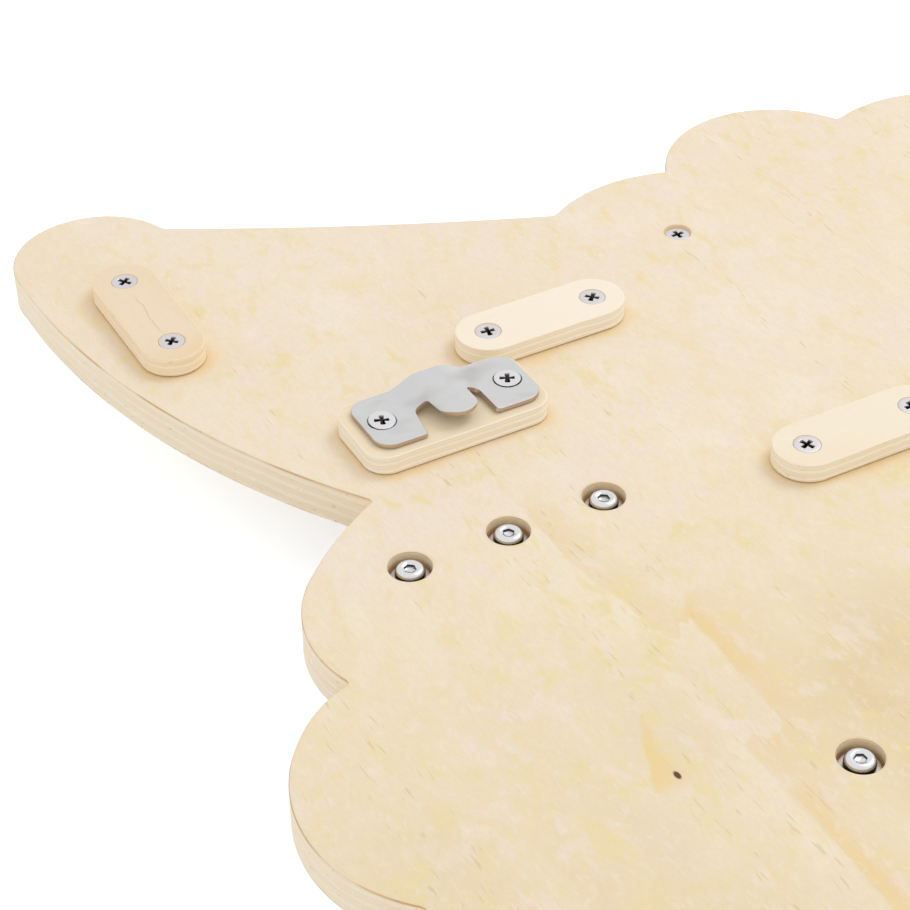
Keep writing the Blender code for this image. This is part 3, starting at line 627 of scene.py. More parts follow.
# One small dark knot in the back face, at the foot of a wedge of yellow wood that leans to the
# right and grows narrower as it rises
def pinKnot(colour):
    x, y, _ = axesOf()
    knotX, knotY = knot["place"]
    place = spotOf((1, knot["stretch"], 1), (0, knotY * (1 - knot["stretch"]), 0))
    far = vectors("DISTANCE", place, (knotX, knotY, boxOf("board_panel")[1][2]))
    rise = y - knotY
    side = x - rise * knot["lean"] + ripple((60, 120, 0), knot["wave"]) - (knotX - knot["reach"])
    width = knot["width"] - rise * knot["narrowing"]
    wedge = ease(side, -0.3 * mm, 0.5 * mm) * ease(side / width, 1.15, 0.3)
    wedge = wedge * ease(rise, -5 * mm, 2 * mm) * ease(rise, 25 * mm, 14 * mm)
    return laid(colour, (wedge * 0.6 * onBack(), knot["wedge"]),
                (ease(far, 3.5 * mm, 0.8 * mm, 0, 0.6), birchTones["flame"]),
                (ease(far, 1.0 * mm, 0.5 * mm), birchTones["knot"]))


growth = {"near": (238, 211, 170), "gold": (240, 208, 142),
          **lengths(start=-158, slip=42, ragged=3, fadeTop=22, fade=25, left=13, right=17, goldEnd=6.5,
                    steps=((-12, -46, 5), (-44, -50, 10), (-86, -98, -13)))}


# One ring's jagged edge down the left cheek, pale on its left and peach fading to the right: its x
# is a sum of smooth steps in y, read at a y that slips by a noise that changes fast across it.
def growthEdge(colour):
    x, y, _ = axesOf()
    slid = y + ripple((120, 14, 0), growth["slip"], shift=(0.4, 0, 0))
    away = x - growth["start"]
    for top, bottom, reach in growth["steps"]:
        away = away - ease(slid, top, bottom, 0, reach)
    away = away + ripple((260, 90, 0), growth["ragged"])
    here = ease(y, growth["fadeTop"], growth["fadeTop"] - growth["fade"]) * onBack()
    right, left = ease(away, 0.0, 0.5 * mm), ease(away, 0.0, -0.5 * mm)
    near = right * ease(away, growth["right"], 2 * mm)
    far = left * ease(away, -growth["left"], -2 * mm)
    uneven = here * patches(((60, 40, 0), 0.3, 0.6), 0.4, 1)
    spots = patches(((36, 24, 0), 0.47, 0.60), 0, 0.6, shift=(0.2, 0, 0))
    gold = right * ease(away, growth["goldEnd"], 2 * mm) * spots * here
    return laid(colour, (far * here * 0.28, birchTones["pale"]), (near * uneven * 0.75, growth["near"]),
                (gold, growth["gold"]))


# The veneer is neutral towards the ears, yellower towards the chin and warm beside the lone bolt
def broadTones(colour):
    x, y, _ = axesOf()
    low = ease(y, -30 * mm, -100 * mm)
    inner = ease(x, -150 * mm, -112 * mm, 0.4) * ease(x, -90 * mm, -25 * mm, 1, 0.3)
    spots = patches(((34, 16, 0), 3.0, 0.5, 0.34, 0.60), 0.25, 0.85)
    return laid(colour, (ease(y, 0.0, 40 * mm, 0, 0.4), (241, 226, 207)),
                (ease(y, 20 * mm, -40 * mm, 0, 0.45), (240, 221, 184)),
                (low * inner * spots, (226, 198, 150)))


# Spacer pads and hanger blocks: flat birch pieces with round corners and a sunk hole per screw
backing = {"wallRows": 18, "scorchWidth": 0.6, "turns": 96, "roundest": 0.999, "varnish": (240, 206, 148),
           **lengths(padRadius=9.5, blockCorner=6.8, arris=0.28, land=0.6, plyPair=2.28, plyDepth=0.06,
                     step=1.2, pool=1.0, poolFade=4.0, poolWaves=7)}


# Painted warm contact shade, together with some pooled varnish, round the feet of the pads and blocks, by
# the distance from a round-cornered box: the length of what is left of the place once the box's inner half
# is taken off each axis
def varnishAndContactShade(colour):
    x, y, _ = axesOf()
    flat = addNode("ShaderNodeCombineXYZ", {0: maths("ABSOLUTE", x), 1: y})
    back, uneven = onBack(), cloud((70, 70, 0)) * backing["poolWaves"]
    for node in ("ear_pad_right", "brow_pad_right", "eye_pad_right", "hanger_block_right"):
        corner = backing["blockCorner" if "block" in node else "padRadius"]
        low, high, middle = boxOf(node)
        half = (high - low) / 2 - corner
        off = vectors("ABSOLUTE", vectors("SUBTRACT", flat, (*middle[:2], 0)))
        off = vectors("MAXIMUM", vectors("SUBTRACT", off, (*half[:2], 0)))
        far = vectors("LENGTH", off) - uneven
        ring = ease(far, corner + backing["pool"], corner - backing["poolFade"], 0, 0.6)
        colour = tint(ring * back, colour, backing["varnish"])
    return colour


panelFace = birchFace("panelVeneer", {
    "tones": {}, "shift": (0.31, 0.12, 0.4), "alongX": False, "rings": 8.0, "flame": 0.45, "streak": 0.7,
    "mottle": 0.7, "fleck": 0.6, "fibre": 0.25, "roughness": 0.55, "bump": 0.015 * mm, "scorch": 1.0,
    "under": (broadTones, growthEdge), "extras": (varnishAndContactShade, pinKnot, paintedEyes)})
panelRim = plyRim("panelRim", {"lift": 0.0, "plyPair": panel["plyPair"], "glue": 0.3, "end": 0.4,
                               "chip": 0.9, "pore": 0.5, "scorch": 0.9, "even": 0.42})
countersink = {"flare": 0.5, **lengths(lip=0.06, land=0.9, gap=0.14, headDepth=2.4, bore=2.0, proud=2.0)}


# A countersunk hole from surface to bottom: a lip, a straight wall, the screw's cone, the bore
def sunkHole(screw, surface, bottom):
    lip, bore, land = (countersink[key] for key in ("lip", "bore", "land"))
    _, high, middle = boxOf(screw)
    headTop = min(high[2], surface + countersink["proud"])
    rim = halfWidth(screw) + countersink["gap"]
    mouth = rim + countersink["flare"] * max(surface - headTop, 0)
    rows = [(mouth + land, surface), (mouth + lip, surface), (mouth + 0.3 * lip, surface - 0.3 * lip),
            (mouth, surface - lip), (rim, min(headTop, surface - 2 * lip)),
            (bore, headTop - countersink["headDepth"]), (bore, bottom), (bore + land, bottom)]
    # The countersink wall is darkened more deeply down as painted shade, and more where the head sits below
    # the surface.
    sunkShade = 0.2 if surface - headTop > 2 * lip else 0
    wear = np.array([0, 0.05, 0.2 + sunkShade, 0.3 + sunkShade, 0.5 + sunkShade, 0, 0, 0])
    return {"centre": middle[:2], "rows": rows, "wear": wear, "slots": [0, 0, 2, 2, 2, 2, 0]}


def pilotHole(screw, top):  # the blind hole that a wood screw bites into
    low, _, middle = boxOf(screw)
    bore, end = countersink["bore"], low[2] - countersink["gap"]
    rows = [(1.5 * bore, top), (bore, top), (bore, end + 0.4 * bore), (0.3 * bore, end), (0, end)]
    return {"centre": middle[:2], "rows": rows, "slots": [0, 2, 2, 2], "count": 24}


counterbore = lengths(radius=5.9, bore=2.9, land=1.0, lip=0.10, gap=0.3, soot=1.6, sootFade=1.2)


# A counterbore down to its floor, then the bolt's clearance hole through the rest of the board. Its wall is
# scorched at the rim and darkened near the floor as painted shade.
def counterboreHole(pivot, low, top):
    radius, bore, land, lip = (counterbore[key] for key in ("radius", "bore", "land", "lip"))
    floor = boxOf(pivot + "_washer")[0][2] - counterbore["gap"]
    soot, unshaded = floor + counterbore["soot"], floor + counterbore["soot"] + counterbore["sootFade"]
    rows = [(radius + land, top), (radius + lip, top), (radius + 0.3 * lip, top - 0.3 * lip),
            (radius, top - lip), (radius, top - 4 * lip), (radius, unshaded), (radius, soot),
            (radius, floor + lip), (radius - lip, floor), (bore + lip, floor), (bore, floor - lip),
            (bore, low + lip), (bore + lip, low), (bore + land, low)]
    # The rim rows are scorched; the rows near the floor carry painted shade.
    wear = np.array([0, 0.3, 0.8, 0.8, 0.05, 0.05, 0.75, 0.9, 0.9, 0.2, 0, 0, 0, 0])
    return {"centre": boxOf(pivot + "_bolt")[2][:2], "rows": rows, "wear": wear,
            "slots": [0, 0] + [2] * 10 + [0]}


def makePanel():
    low, high, _ = boxOf("board_panel")
    half = (high - low)[:2] / 2
    outline = panelOutline(half)
    outline = outline * (half - panel["margin"]) / np.abs(outline).max(0)
    holes = [counterboreHole(pivot, low[2], high[2]) for pivot in pivots]
    holes += [sunkHole(screw, high[2], low[2]) for screw in railScrews]
    holes += [pilotHole(screw, high[2]) for screw in padScrews + hangerScrews]
    makeSlab("board_panel", outline, holes, panel, (panelFace, panelRim, holeWall), "birchPanel")


makePanel()
print("panel made")
crack = {"tone": (216, 192, 156), "footTone": (238, 204, 152),
         **lengths(side=0.6, wave=5, half=0.28, core=0.10, low=(-15, -8), top=(12, 4), foot=14)}


# A fine wavy crack along the grain between the ear pad's screws, and a warmer foot
def crackLine(colour):
    x, y, _ = axesOf()
    low, _, middle = (corner.tolist() for corner in boxOf("ear_pad_left"))
    away = x - (middle[0] - crack["side"]) - ripple((0, 90, 0), crack["wave"], detail=3.0)
    line = ease(maths("ABSOLUTE", away), crack["half"], crack["core"])
    for start, end in (crack["low"], crack["top"]):
        line = line * ease(y, middle[1] + start, middle[1] + end)
    foot = ease(y, low[1] + crack["foot"], low[1], 0, 0.35)
    return laid(colour, (line * 0.8, crack["tone"]), (foot, crack["footTone"]))


padTones = {
    "brow": {"base": (250, 238, 219), "warm": (248, 233, 210), "flame": (246, 228, 198)},
    "eye": {"base": (246, 233, 211), "warm": (244, 228, 201), "flame": (241, 221, 187)},
    "block": {"base": (244, 226, 195), "warm": (240, 219, 184), "flame": (236, 210, 168)},
    "ear": {"base": (240, 220, 192), "warm": (238, 214, 181), "flame": (235, 204, 162)}}
padLook = {"rings": 5.0, "flame": 0.35, "streak": 0.2, "mottle": 0.15, "fleck": 0.2, "fibre": 0.25,
           "roughness": 0.5, "bump": 0.01 * mm, "scorch": 0.12}
padFace = {}
for number, (key, tones) in enumerate(padTones.items()):
    shades = {**tones, "pink": tones["base"], "pale": tones["base"], "streak": tones["flame"],
              "mottle": tones["warm"], "fibre": tones["flame"]}
    padFace[key] = birchFace(key + "Veneer", {
        "tones": shades, "shift": (2.1 + number, 0.7 * number, 0), "alongX": key != "ear",
        "extras": (crackLine,) if key == "ear" else (), **padLook})
padRim = plyRim("padRim", {"lift": 0.5 * mm, "plyPair": backing["plyPair"], "glue": 0.9, "end": 0.2,
                           "chip": 0.6, "pore": 0.3, "scorch": 0.12, "even": 0.6,
                           "tones": {"light": (255, 249, 234), "dark": (250, 237, 212)}})
earRim = plyRim("earRim", {"lift": 0.9 * mm, "plyPair": backing["plyPair"], "glue": 0.7, "end": 0.3,
                           "chip": 0.3, "pore": 0.3, "scorch": 0.2, "even": 0.35,
                           "tones": {"light": (255, 240, 214), "dark": (252, 226, 186)}})


def makeBacking(node, corner, screws, looks, seed):
    low, high, middle = boxOf(node)
    half = (high - low)[:2] / 2
    corner = min(corner, backing["roundest"] * half.min())
    turn = np.linspace(0, math.tau, backing["turns"], endpoint=False) + math.pi / backing["turns"]
    way = np.column_stack([np.cos(turn), np.sin(turn)])
    outline = spread(middle[:2] + np.sign(way) * (half - corner) + corner * way, backing["step"])
    holes = [sunkHole(screw, high[2], low[2]) for screw in screws]
    makeSlab(node, outline, holes, {**backing, "seed": seed}, (*looks, holeWall))


for seed, pad in enumerate(pads):
    place = pad.split("_")[0]
    looks = (padFace[place], earRim if place == "ear" else padRim)
    makeBacking(pad, backing["padRadius"], pairOf(pad + "_screw"), looks, seed + 20)
for seed, side in enumerate(sides):
    makeBacking("hanger_block_" + side, backing["blockCorner"], pairOf("hanger_screw_" + side),
                (padFace["block"], padRim), seed + 40)
print("pads and blocks made")


# Rows of a radius, or of one for every angle, and a height, as two arrays
def rowsOf(rows, angle):
    radii = [np.broadcast_to(radius, len(angle)) for radius, _ in rows]
    return np.array(radii), np.array([height for _, height in rows])


# The rows with a thread below them: a ridge on the radius wherever the height less the turned
# angle comes round to a whole pitch
def threaded(rows, angle, top, end, settings, perPitch, every=1):
    crest, root, pitch = settings["shank"], settings["root"], settings["pitch"]
    heights = np.linspace(top, end, int((top - end) / pitch * perPitch))
    turnShare = (heights[:, None] / pitch - angle[None, ::every] / math.tau) % 1
    ridge = np.clip(1 - np.abs(turnShare - 0.5) / 0.30, 0, 1)
    fade = np.clip((top - heights) / pitch, 0, 1)[:, None]
    radii = crest + (root + (crest - root) * ridge - crest) * fade
    radii = radii * np.clip((heights - end) / settings["tip"], 0, 1)[:, None] ** 0.7
    firstRadii, firstHeights = rowsOf(rows, angle)
    return np.vstack([firstRadii, np.repeat(radii, every, 1)]), np.append(firstHeights, heights)


def ringPiece(node, material, radii, heights, angle, wear):  # wear values, which also carry painted shade, start at the first ring
    shape = newShape()
    wear = np.pad(np.array(wear, float), (0, len(heights) - len(wear)))
    addRings(shape, radii, heights, boxOf(node)[2][:2], angle, wear=wear)
    finishPiece(shape, node, (material,))


# Wood screws: a cross recess that tapers, a flat head with a cone, and a thread. Crosses are
# shares of the arm's length and width with a depth, the brim is shares of the head with a depth.
woodScrew = {
    "flare": 0.14, "uneven": 0.07, **lengths(arm=2.15, armHalf=0.45, coneDepth=2.4, shank=1.65, root=1.15,
                                             pitch=1.25, tip=3.0, plain=1.4),
    "crosses": ((0, 0, 1.6 * mm), (0.36, 0.4, 1.5 * mm), (0.80, 0.75, 0.9 * mm), (0.96, 0.95, 0.14 * mm),
                (1.04, 1.18, 0)), "soot": (1, 1, 1, 0.5, 0),
    "brim": ((0.66, 0), (0.90, 0), (0.975, 0.05 * mm), (1.0, 0.17 * mm), (1.0, 0.32 * mm))}


def crossRadius(angle, arm, half, stretch):  # a cross whose four arms widen towards their tips
    quarter = np.round(angle / (math.pi / 2)).astype(int)
    off = np.abs(angle - quarter * math.pi / 2)
    arm = arm * stretch[quarter % 4]
    flank = half / np.maximum(np.sin(off) - woodScrew["flare"] * np.cos(off), 1e-3)
    return np.where(off <= math.atan(half / arm.mean() + woodScrew["flare"]), arm, flank)


def makeScrew(node, material, lean, turn, seed):
    low, high, _ = boxOf(node)
    top, head, neck = high[2], halfWidth(node), high[2] - woodScrew["coneDepth"]
    arm, half = woodScrew["arm"], woodScrew["armHalf"]
    corner = math.atan(half / arm + woodScrew["flare"])
    eighth = np.r_[np.linspace(0, corner, 3), np.linspace(corner, math.pi / 4, 5)[1:]]
    quarter = np.r_[eighth, math.pi / 2 - eighth[-2:0:-1]]
    angle = np.concatenate([quarter + step * math.pi / 2 for step in range(4)])
    stretch = 1 + woodScrew["uneven"] * np.random.default_rng(seed).uniform(-1, 1, 4)
    rows = [(crossRadius(angle, arm * long, half * wide, stretch) if long else 0, top - depth)
            for long, wide, depth in woodScrew["crosses"]]
    rows += [(share * head, top - depth) for share, depth in woodScrew["brim"]]
    rows.append((woodScrew["shank"], neck))
    radii, heights = threaded(rows, angle, neck - woodScrew["plain"], low[2], woodScrew, 7)
    leaning = heights[:, None] + (radii * np.cos(angle) * lean[0] + radii * np.sin(angle) * lean[1])
    # The cross recess rows carry painted shade that darkens the recess.
    ringPiece(node, material, radii, leaning, angle + turn, woodScrew["soot"])


chance = np.random.default_rng(5)
for seed, node in enumerate(padScrews + hangerScrews + railScrews):
    lean = (0.05, 0.05) if node == "hanger_screw_left_1" else chance.uniform(-0.006, 0.006, 2)
    makeScrew(node, brightZinc if node in hangerScrews else satinSteel, lean,
              chance.uniform(0, math.pi / 2), seed)
print("wood screws made")


# Bolts: a hexagon socket in a round-topped head over a threaded shank; the socket and the head's side and
# flange are darkened as painted shade
bolt = {"socketSoot": (0.12, 0.2, 0.6, 0.75, 0.15, 0.05, 0), "brimSoot": (0.15, 0.8, 1, 1, 1, 1),
        **lengths(crown=2.5, brow=3.75, domeFall=1.0, shank=2.5, root=2.1, pitch=0.8, tip=0.6, socket=1.65,
                  dish=2.15, dishDepth=0.3, socketDepth=1.25, head=4.0, headHeight=3.0)}


def hexRadius(angle, corner):  # a hexagon with its corners a little rounded
    inside = corner * math.cos(math.pi / 6) / np.cos(angle % (math.pi / 3) - math.pi / 6)
    return np.minimum(inside, 0.97 * corner)


def makeBolt(node, turn):
    low, high, _ = boxOf(node)
    top, head, crown, dish = high[2], bolt["head"], bolt["crown"], bolt["dish"]
    under, brim, floor = top - bolt["headHeight"], top - bolt["domeFall"], top - bolt["dishDepth"]
    angle = np.linspace(0, math.tau, 72, endpoint=False)
    socket, depth = hexRadius(angle, bolt["socket"]), bolt["socketDepth"]
    rows = [(0, top - depth), (0.9 * socket, top - 0.97 * depth), (socket, top - 0.9 * depth),
            (socket, floor - 0.1 * mm), (1.05 * socket, floor), (dish, top - 0.04 * mm),
            (dish + 0.15 * mm, top)]
    rows += [(crown + (bolt["brow"] - crown) * math.sin(step), top - bolt["domeFall"] * (1 - math.cos(step)))
             for step in np.linspace(0, math.pi / 2, 9)]
    rows += [(head - 0.1 * mm, brim - 0.25 * mm), (head, brim - 0.6 * mm), (head, under + 0.25 * mm),
             (head - 0.2 * mm, under), (bolt["shank"], under)]
    wear = bolt["socketSoot"] + (0,) * 8 + bolt["brimSoot"]
    radii, heights = threaded(rows, angle, under - 0.3 * mm, low[2], bolt, 6, every=3)
    ringPiece(node, brightZinc, radii, heights, angle + turn, wear)


sleeve = {"soot": (0.5, 0.5, 0.4, 0.05), **lengths(tube=3.8, cap=6.6, capDepth=2.5, bore=2.8, socket=2.3,
                                                   socketDepth=1.3, floor=0.7, edge=0.2)}


def makeSleeve(node):
    front, back = boxOf(node)[0][2], boxOf(node)[1][2]
    angle = np.linspace(0, math.tau, 72, endpoint=False)
    socket, depth = hexRadius(angle, sleeve["socket"]), sleeve["socketDepth"]
    cap, tube, bore, edge = (sleeve[key] for key in ("cap", "tube", "bore", "edge"))
    capBack, boreEnd = front + sleeve["capDepth"], front + sleeve["capDepth"] + sleeve["floor"]
    rows = [(0, front + depth), (0.97 * socket, front + 0.97 * depth), (socket, front + 0.15 * mm),
            (1.07 * socket, front), (cap - 0.9 * mm, front), (cap - 0.25 * mm, front + 0.12 * mm),
            (cap, front + 0.6 * mm), (cap, capBack - 0.3 * mm), (cap - edge, capBack), (tube, capBack),
            (tube, back - edge), (tube - edge, back), (bore + edge, back), (bore, back - edge),
            (bore, boreEnd + 0.3 * mm), (0, boreEnd)]
    # The socket rows carry painted shade that darkens the socket.
    ringPiece(node, brightZinc, *rowsOf(rows, angle), angle, sleeve["soot"])


washer = lengths(hole=2.8, edge=0.2)


def makeWasher(node):
    low, high, _ = boxOf(node)
    hole, radius = washer["hole"], halfWidth(node)
    corners = [(hole, low[2]), (radius, low[2]), (radius, high[2]), (hole, high[2])]
    turnPiece(node, roundCorners(corners, washer["edge"], 5), 72, (washerSteel,), closeRows=True)


for pivot in pivots:
    makeBolt(pivot + "_bolt", chance.uniform(0, math.pi / 3))
    makeWasher(pivot + "_washer")
    makeSleeve(pivot + "_sleeve")
print("bolts, washers and sleeve nuts made")


# Hanging plates: a flat outline with two slots and a tongue, its sheet bent up over a bridge
# whose lift is a smooth step of the distance from the middle, square to the bent sheet.
plate = {"sharp": 50, **lengths(
    corner=5.2, tongue=5.6, tongueTip=(-4.7, 5.7), slot=4.2, slotRise=10.5, slotOuter=1.6, slotInner=1.2,
    slant=1.3, holeGap=0.3, inner=0.9, rise=3.3, bridgeFoot=12.3, bridgeTop=2.8, thickness=1.3,
    edge=0.16, screwSpacing=39.1, step=0.6, grid=1.0, clear=0.4)}


def bendPlate(flat, level, base, centre):
    x, y = flat.T
    span = plate["bridgeFoot"] - plate["bridgeTop"]
    share = np.clip((plate["bridgeFoot"] - np.abs(x)) / span, 0, 1)
    lift = plate["rise"] * share ** 2 * (3 - 2 * share)
    slope = np.arctan(-np.sign(x) * plate["rise"] * 6 * share * (1 - share) / span)
    return np.column_stack([centre[0] + x - level * np.sin(slope), centre[1] + y,
                            base + lift + level * np.cos(slope)])


def plateOutline(wide, high):  # from the half width and the half height
    tongue, far, slant = plate["tongue"], plate["tongue"] + plate["slot"], plate["slant"]
    top, tip = plate["slotRise"] - high, plate["tongueTip"]
    corners = [(-wide, -high), (-far - slant, -high), (-far + slant / 4, top), (-tongue, top),
               (tip[0], -high), (tip[1], -high), (tongue, top), (far - slant / 4, top),
               (far, -high), (wide, -high), (wide, high), (-wide, high)]
    corner, inner, outside, inside = (plate[key] for key in ("corner", "inner", "slotOuter", "slotInner"))
    radii = [corner, inner, outside, inside, tongue, tongue, inside, outside, inner, corner, corner, corner]
    return spread(roundCorners(corners, radii, 13), plate["step"])


def clearOf(points, outline, margin):  # which points lie inside an outline and away from its line
    start, end = outline, np.roll(outline, -1, 0)
    x, y = points[:, :1], points[:, 1:]
    crossing = (start[:, 1] > y) != (end[:, 1] > y)
    rise = np.where(end[:, 1] == start[:, 1], 1e-12, end[:, 1] - start[:, 1])
    at = start[:, 0] + (y - start[:, 1]) / rise * (end[:, 0] - start[:, 0])
    within = (crossing & (x < at)).sum(1) % 2 == 1
    near = np.hypot(x - start[:, 0], y - start[:, 1]).min(1)
    return within & (near > margin)


def makePlate(side):
    low, high, middle = boxOf("hanger_plate_" + side)
    half = (high - low)[:2] / 2
    outline = plateOutline(*half)
    thickness, edge, base = plate["thickness"], plate["edge"], low[2]
    turn = np.linspace(0, math.pi / 2, 5)
    inset, rise = edge * (1 - np.sin(turn)), edge * (1 - np.cos(turn))
    insets = np.r_[3 * edge, inset * 0.6, inset[::-1], 3 * edge]
    levels = np.r_[0, rise * 0.6, thickness - rise[::-1], thickness]
    inner = inwards(outline)
    line = outline[None] + inner[None] * insets[:, None, None]
    shape = newShape()
    grid = np.stack([bendPlate(row, level, base, middle) for row, level in zip(line, levels)])
    addGrid(shape, grid, [0] + [1] * (len(levels) - 4) + [0, 0])
    rim = outline + inner * insets[0]
    across, up = (np.arange(-reach, reach, plate["grid"]) for reach in half)
    inside = np.dstack(np.meshgrid(across, up)).reshape(-1, 2)
    inside = inside[clearOf(inside, rim, plate["clear"])]
    head = halfWidth("hanger_screw_%s_1" % side) + plate["holeGap"]
    foot = head - thickness * 0.92
    rows = [(head + 0.5 * mm, thickness), (head + 0.08 * mm, thickness), (head, thickness - 0.1 * mm),
            (foot + 0.1 * mm, 0.1 * mm), (foot + 0.2 * mm, 0), (head + 0.5 * mm, 0)]
    mouth = rows[0][0]
    holes = []
    for sign in (-1, 1):
        spot = np.array([sign * plate["screwSpacing"] / 2, 0.0])
        rings = [bendPlate(ringAt(spot, radius, 64), level, base, middle) for radius, level in rows]
        addGrid(shape, np.stack(rings))
        holes.append({"loop": ringAt(spot, mouth, 64), "centre": spot, "radius": mouth})
        inside = inside[np.hypot(*(inside - spot).T) > mouth + plate["clear"]]
    for level in (0, thickness):
        addGround(shape, rim, holes, lambda flat: bendPlate(flat, level, base, middle), inside)
    finishPiece(shape, "hanger_plate_" + side, (plateSteel, cutSteelWithPaintedReflection), sharp=plate["sharp"])


for side in sides:
    makePlate(side)
print("hanging plates made")


# Turning pieces on the front. A gear's teeth are corners as shares of the tooth's height and pitch.
gear = {"teeth": 12, "toothShares": ((-1.18, -0.32), (0.80, -0.125), (0.80, 0.125), (-1.18, 0.32)),
        "wallRows": 6, "scorchWidth": 1.0, "seed": 3,
        **lengths(spacing=29.1, arris=0.30, land=0.12, plyPair=2.8, plyDepth=0.03, toothRound=0.6,
                  bore=4.1, boreEdge=0.4)}
spinner = {"lobes": 6, "wallRows": 8, "scorchWidth": 1.0, "seed": 4,
           **lengths(radius=27.5, swell=4.5, arris=1.6, land=0.8, plyPair=3.4, plyDepth=0.04,
                     dimpleRing=19.5, dimple=5.2, dimpleDepth=2.4)}


def boreHole(node):
    low, high, middle = boxOf(node)
    bore, edge = gear["bore"], gear["boreEdge"]
    rows = [(bore + 3 * edge, high[2]), (bore + edge, high[2]), (bore, high[2] - edge),
            (bore, low[2] + edge), (bore + edge, low[2]), (bore + 3 * edge, low[2])]
    return {"centre": middle[:2], "rows": rows, "slots": [0, 2, 2, 2, 0]}


def makeGear(index):
    node, teeth = "gear_%d" % (index + 1), gear["teeth"]
    rise, lean = np.array(gear["toothShares"]).T
    angle = (math.tau / teeth * (np.arange(teeth)[:, None] + index / 2 + lean)).ravel()
    radius = np.tile(gear["spacing"] / 2 + rise * gear["spacing"] / teeth, teeth)
    corners = np.column_stack([radius * np.cos(angle), radius * np.sin(angle)])
    outline = boxOf(node)[2][:2] + roundCorners(corners, gear["toothRound"], 6)
    paint = paintOf[slotOf[node]]
    makeSlab(node, outline, [boreHole(node)], gear, (paint, paint, beech), camelName("cheek_" + node))


for index in range(3):
    makeGear(index)


def makeSpinner():
    low, _, middle = boxOf("spinner")
    angle = np.linspace(0, math.tau, 300, endpoint=False)
    radius = spinner["radius"] + spinner["swell"] * np.cos(spinner["lobes"] * angle)
    outline = middle[:2] + ringAt((0, 0), 1, 300) * radius[:, None]
    rows = [(spinner["dimple"] * math.sin(step), low[2] + spinner["dimpleDepth"] * math.cos(step))
            for step in np.linspace(0, math.pi / 2, 7)]
    rows.append((spinner["dimple"] + 0.5 * mm, low[2]))
    holes = [boreHole("spinner")]
    holes += [{"centre": spot, "rows": rows, "slots": [2] * 6 + [0], "count": 40}
              for spot in ringAt(middle[:2], spinner["dimpleRing"], spinner["lobes"])]
    makeSlab("spinner", outline, holes, spinner, (ochre, ochre, beech), "petalSpinner")


makeSpinner()
wheel = lengths(boss=11.0, dishStart=12.4, dishEnd=28.5, lip=30.2, dish=1.8, hub=18.0, rim=12.0,
                bareEdge=0.8, bareDepth=3, boreEdge=0.2,
                rounds=(0.4, 0.9, 1.2, 1.2, 0.9, 1.9, 1.9, 0.6, 1.2, 0.4))


def makeWheel(node):  # painted all over but for its dish and bore
    front, back = boxOf(node)[0][2], boxOf(node)[1][2]
    radius, bore, hub, rim = halfWidth(node), gear["bore"], wheel["hub"], front + wheel["rim"]
    floor = front + wheel["dish"]
    corners = [(bore, front), (wheel["boss"], front), (wheel["dishStart"], floor), (wheel["dishEnd"], floor),
               (wheel["lip"], front), (radius, front), (radius, rim), (hub, rim), (hub, back), (bore, back)]
    profile = roundCorners(corners, wheel["rounds"], 8)
    out, height = ((profile + np.roll(profile, -1, 0)) / 2).T
    bare = (out < wheel["dishEnd"] + wheel["bareEdge"]) & (height < front + wheel["bareDepth"])
    bare |= out < bore + wheel["boreEdge"]
    turnPiece(node, profile, 128, (slate, beech), camelName("cheek_" + node), slot=bare.astype(int),
              closeRows=True)


for side in sides:
    makeWheel("wheel_" + side)


nose = lengths(rim=5.0, edge=1.0)


def makeNose():
    low, high, _ = boxOf("nose")
    radius, seat, edge, brim = halfWidth("nose"), high[2], nose["edge"], high[2] - nose["rim"]
    profile = [(0, seat), (radius - edge, seat), (radius, seat - edge)]
    profile += [(radius * math.cos(step), brim - (brim - low[2]) * math.sin(step))
                for step in np.linspace(0, math.pi / 2, 20)[:-1]]
    turnPiece("nose", profile + [(0, low[2])], 96, (ochre,), "domedNose")


makeNose()
print("turning pieces and nose made")


# Bead rail. Grooves are the heights at which a post narrows to its waist and widens again, and
# rounds are the radii of the corners of its profile.
rail = lengths(rodRadius=2.5, rodHeight=12.5, rodEdge=0.4, seatDepth=5.0, drillOut=1.0, pilot=2.0,
               waist=7.3, beadEnd=6.5, beadEdge=0.5, beadCut=0.3,
               grooves=((4.5, 5.5, 7.0, 8.2), (17.0, 18.6, 20.4, 21.6)),
               rounds=(0, 1.0, 0.8, 0.6, 0.6, 1.0, 1.0, 0.8, 0.8, 0.8, 0.8, 0.3, 0.2, 0))


def cutSeat(piece, drill):  # a round blind hole cut into a finished piece
    cutter = addObject("drill", meshOf(drill, "drill"))
    modifier = piece.modifiers.new("seat", "BOOLEAN")
    modifier.operation, modifier.solver, modifier.object = "DIFFERENCE", "EXACT", cutter
    finished = bpy.data.meshes.new_from_object(piece.evaluated_get(bpy.context.evaluated_depsgraph_get()))
    piece.modifiers.clear()
    piece.data = finished
    bpy.data.objects.remove(cutter)


def makePost(side, sign):
    node = "rail_post_" + side
    _, high, middle = boxOf(node)
    radius, top, waist, pilot = halfWidth(node), high[2], rail["waist"], rail["pilot"]
    screwEnd = boxOf("rail_screw_" + side)[0][2] - countersink["gap"]
    corners = [(0, 0), (radius, 0)]
    for start, narrow, wide, end in rail["grooves"]:
        corners += [(radius, start), (waist, narrow), (waist, wide), (radius, end)]
    corners += [(radius, top), (pilot, top), (pilot, screwEnd), (0, screwEnd)]
    profile = roundCorners(corners, rail["rounds"], 6, closed=False)
    piece = turnPiece(node, profile, 72, (beech,))
    drill, bore = newShape(), rail["rodRadius"] + countersink["gap"]
    start, end = -sign * (radius - rail["seatDepth"]), -sign * (radius + rail["drillOut"])
    addTurned(drill, [(0, start), (bore, start), (bore, end), (0, end)],
              (*middle[:2], rail["rodHeight"]), 48, alongX=True)
    cutSeat(piece, drill)


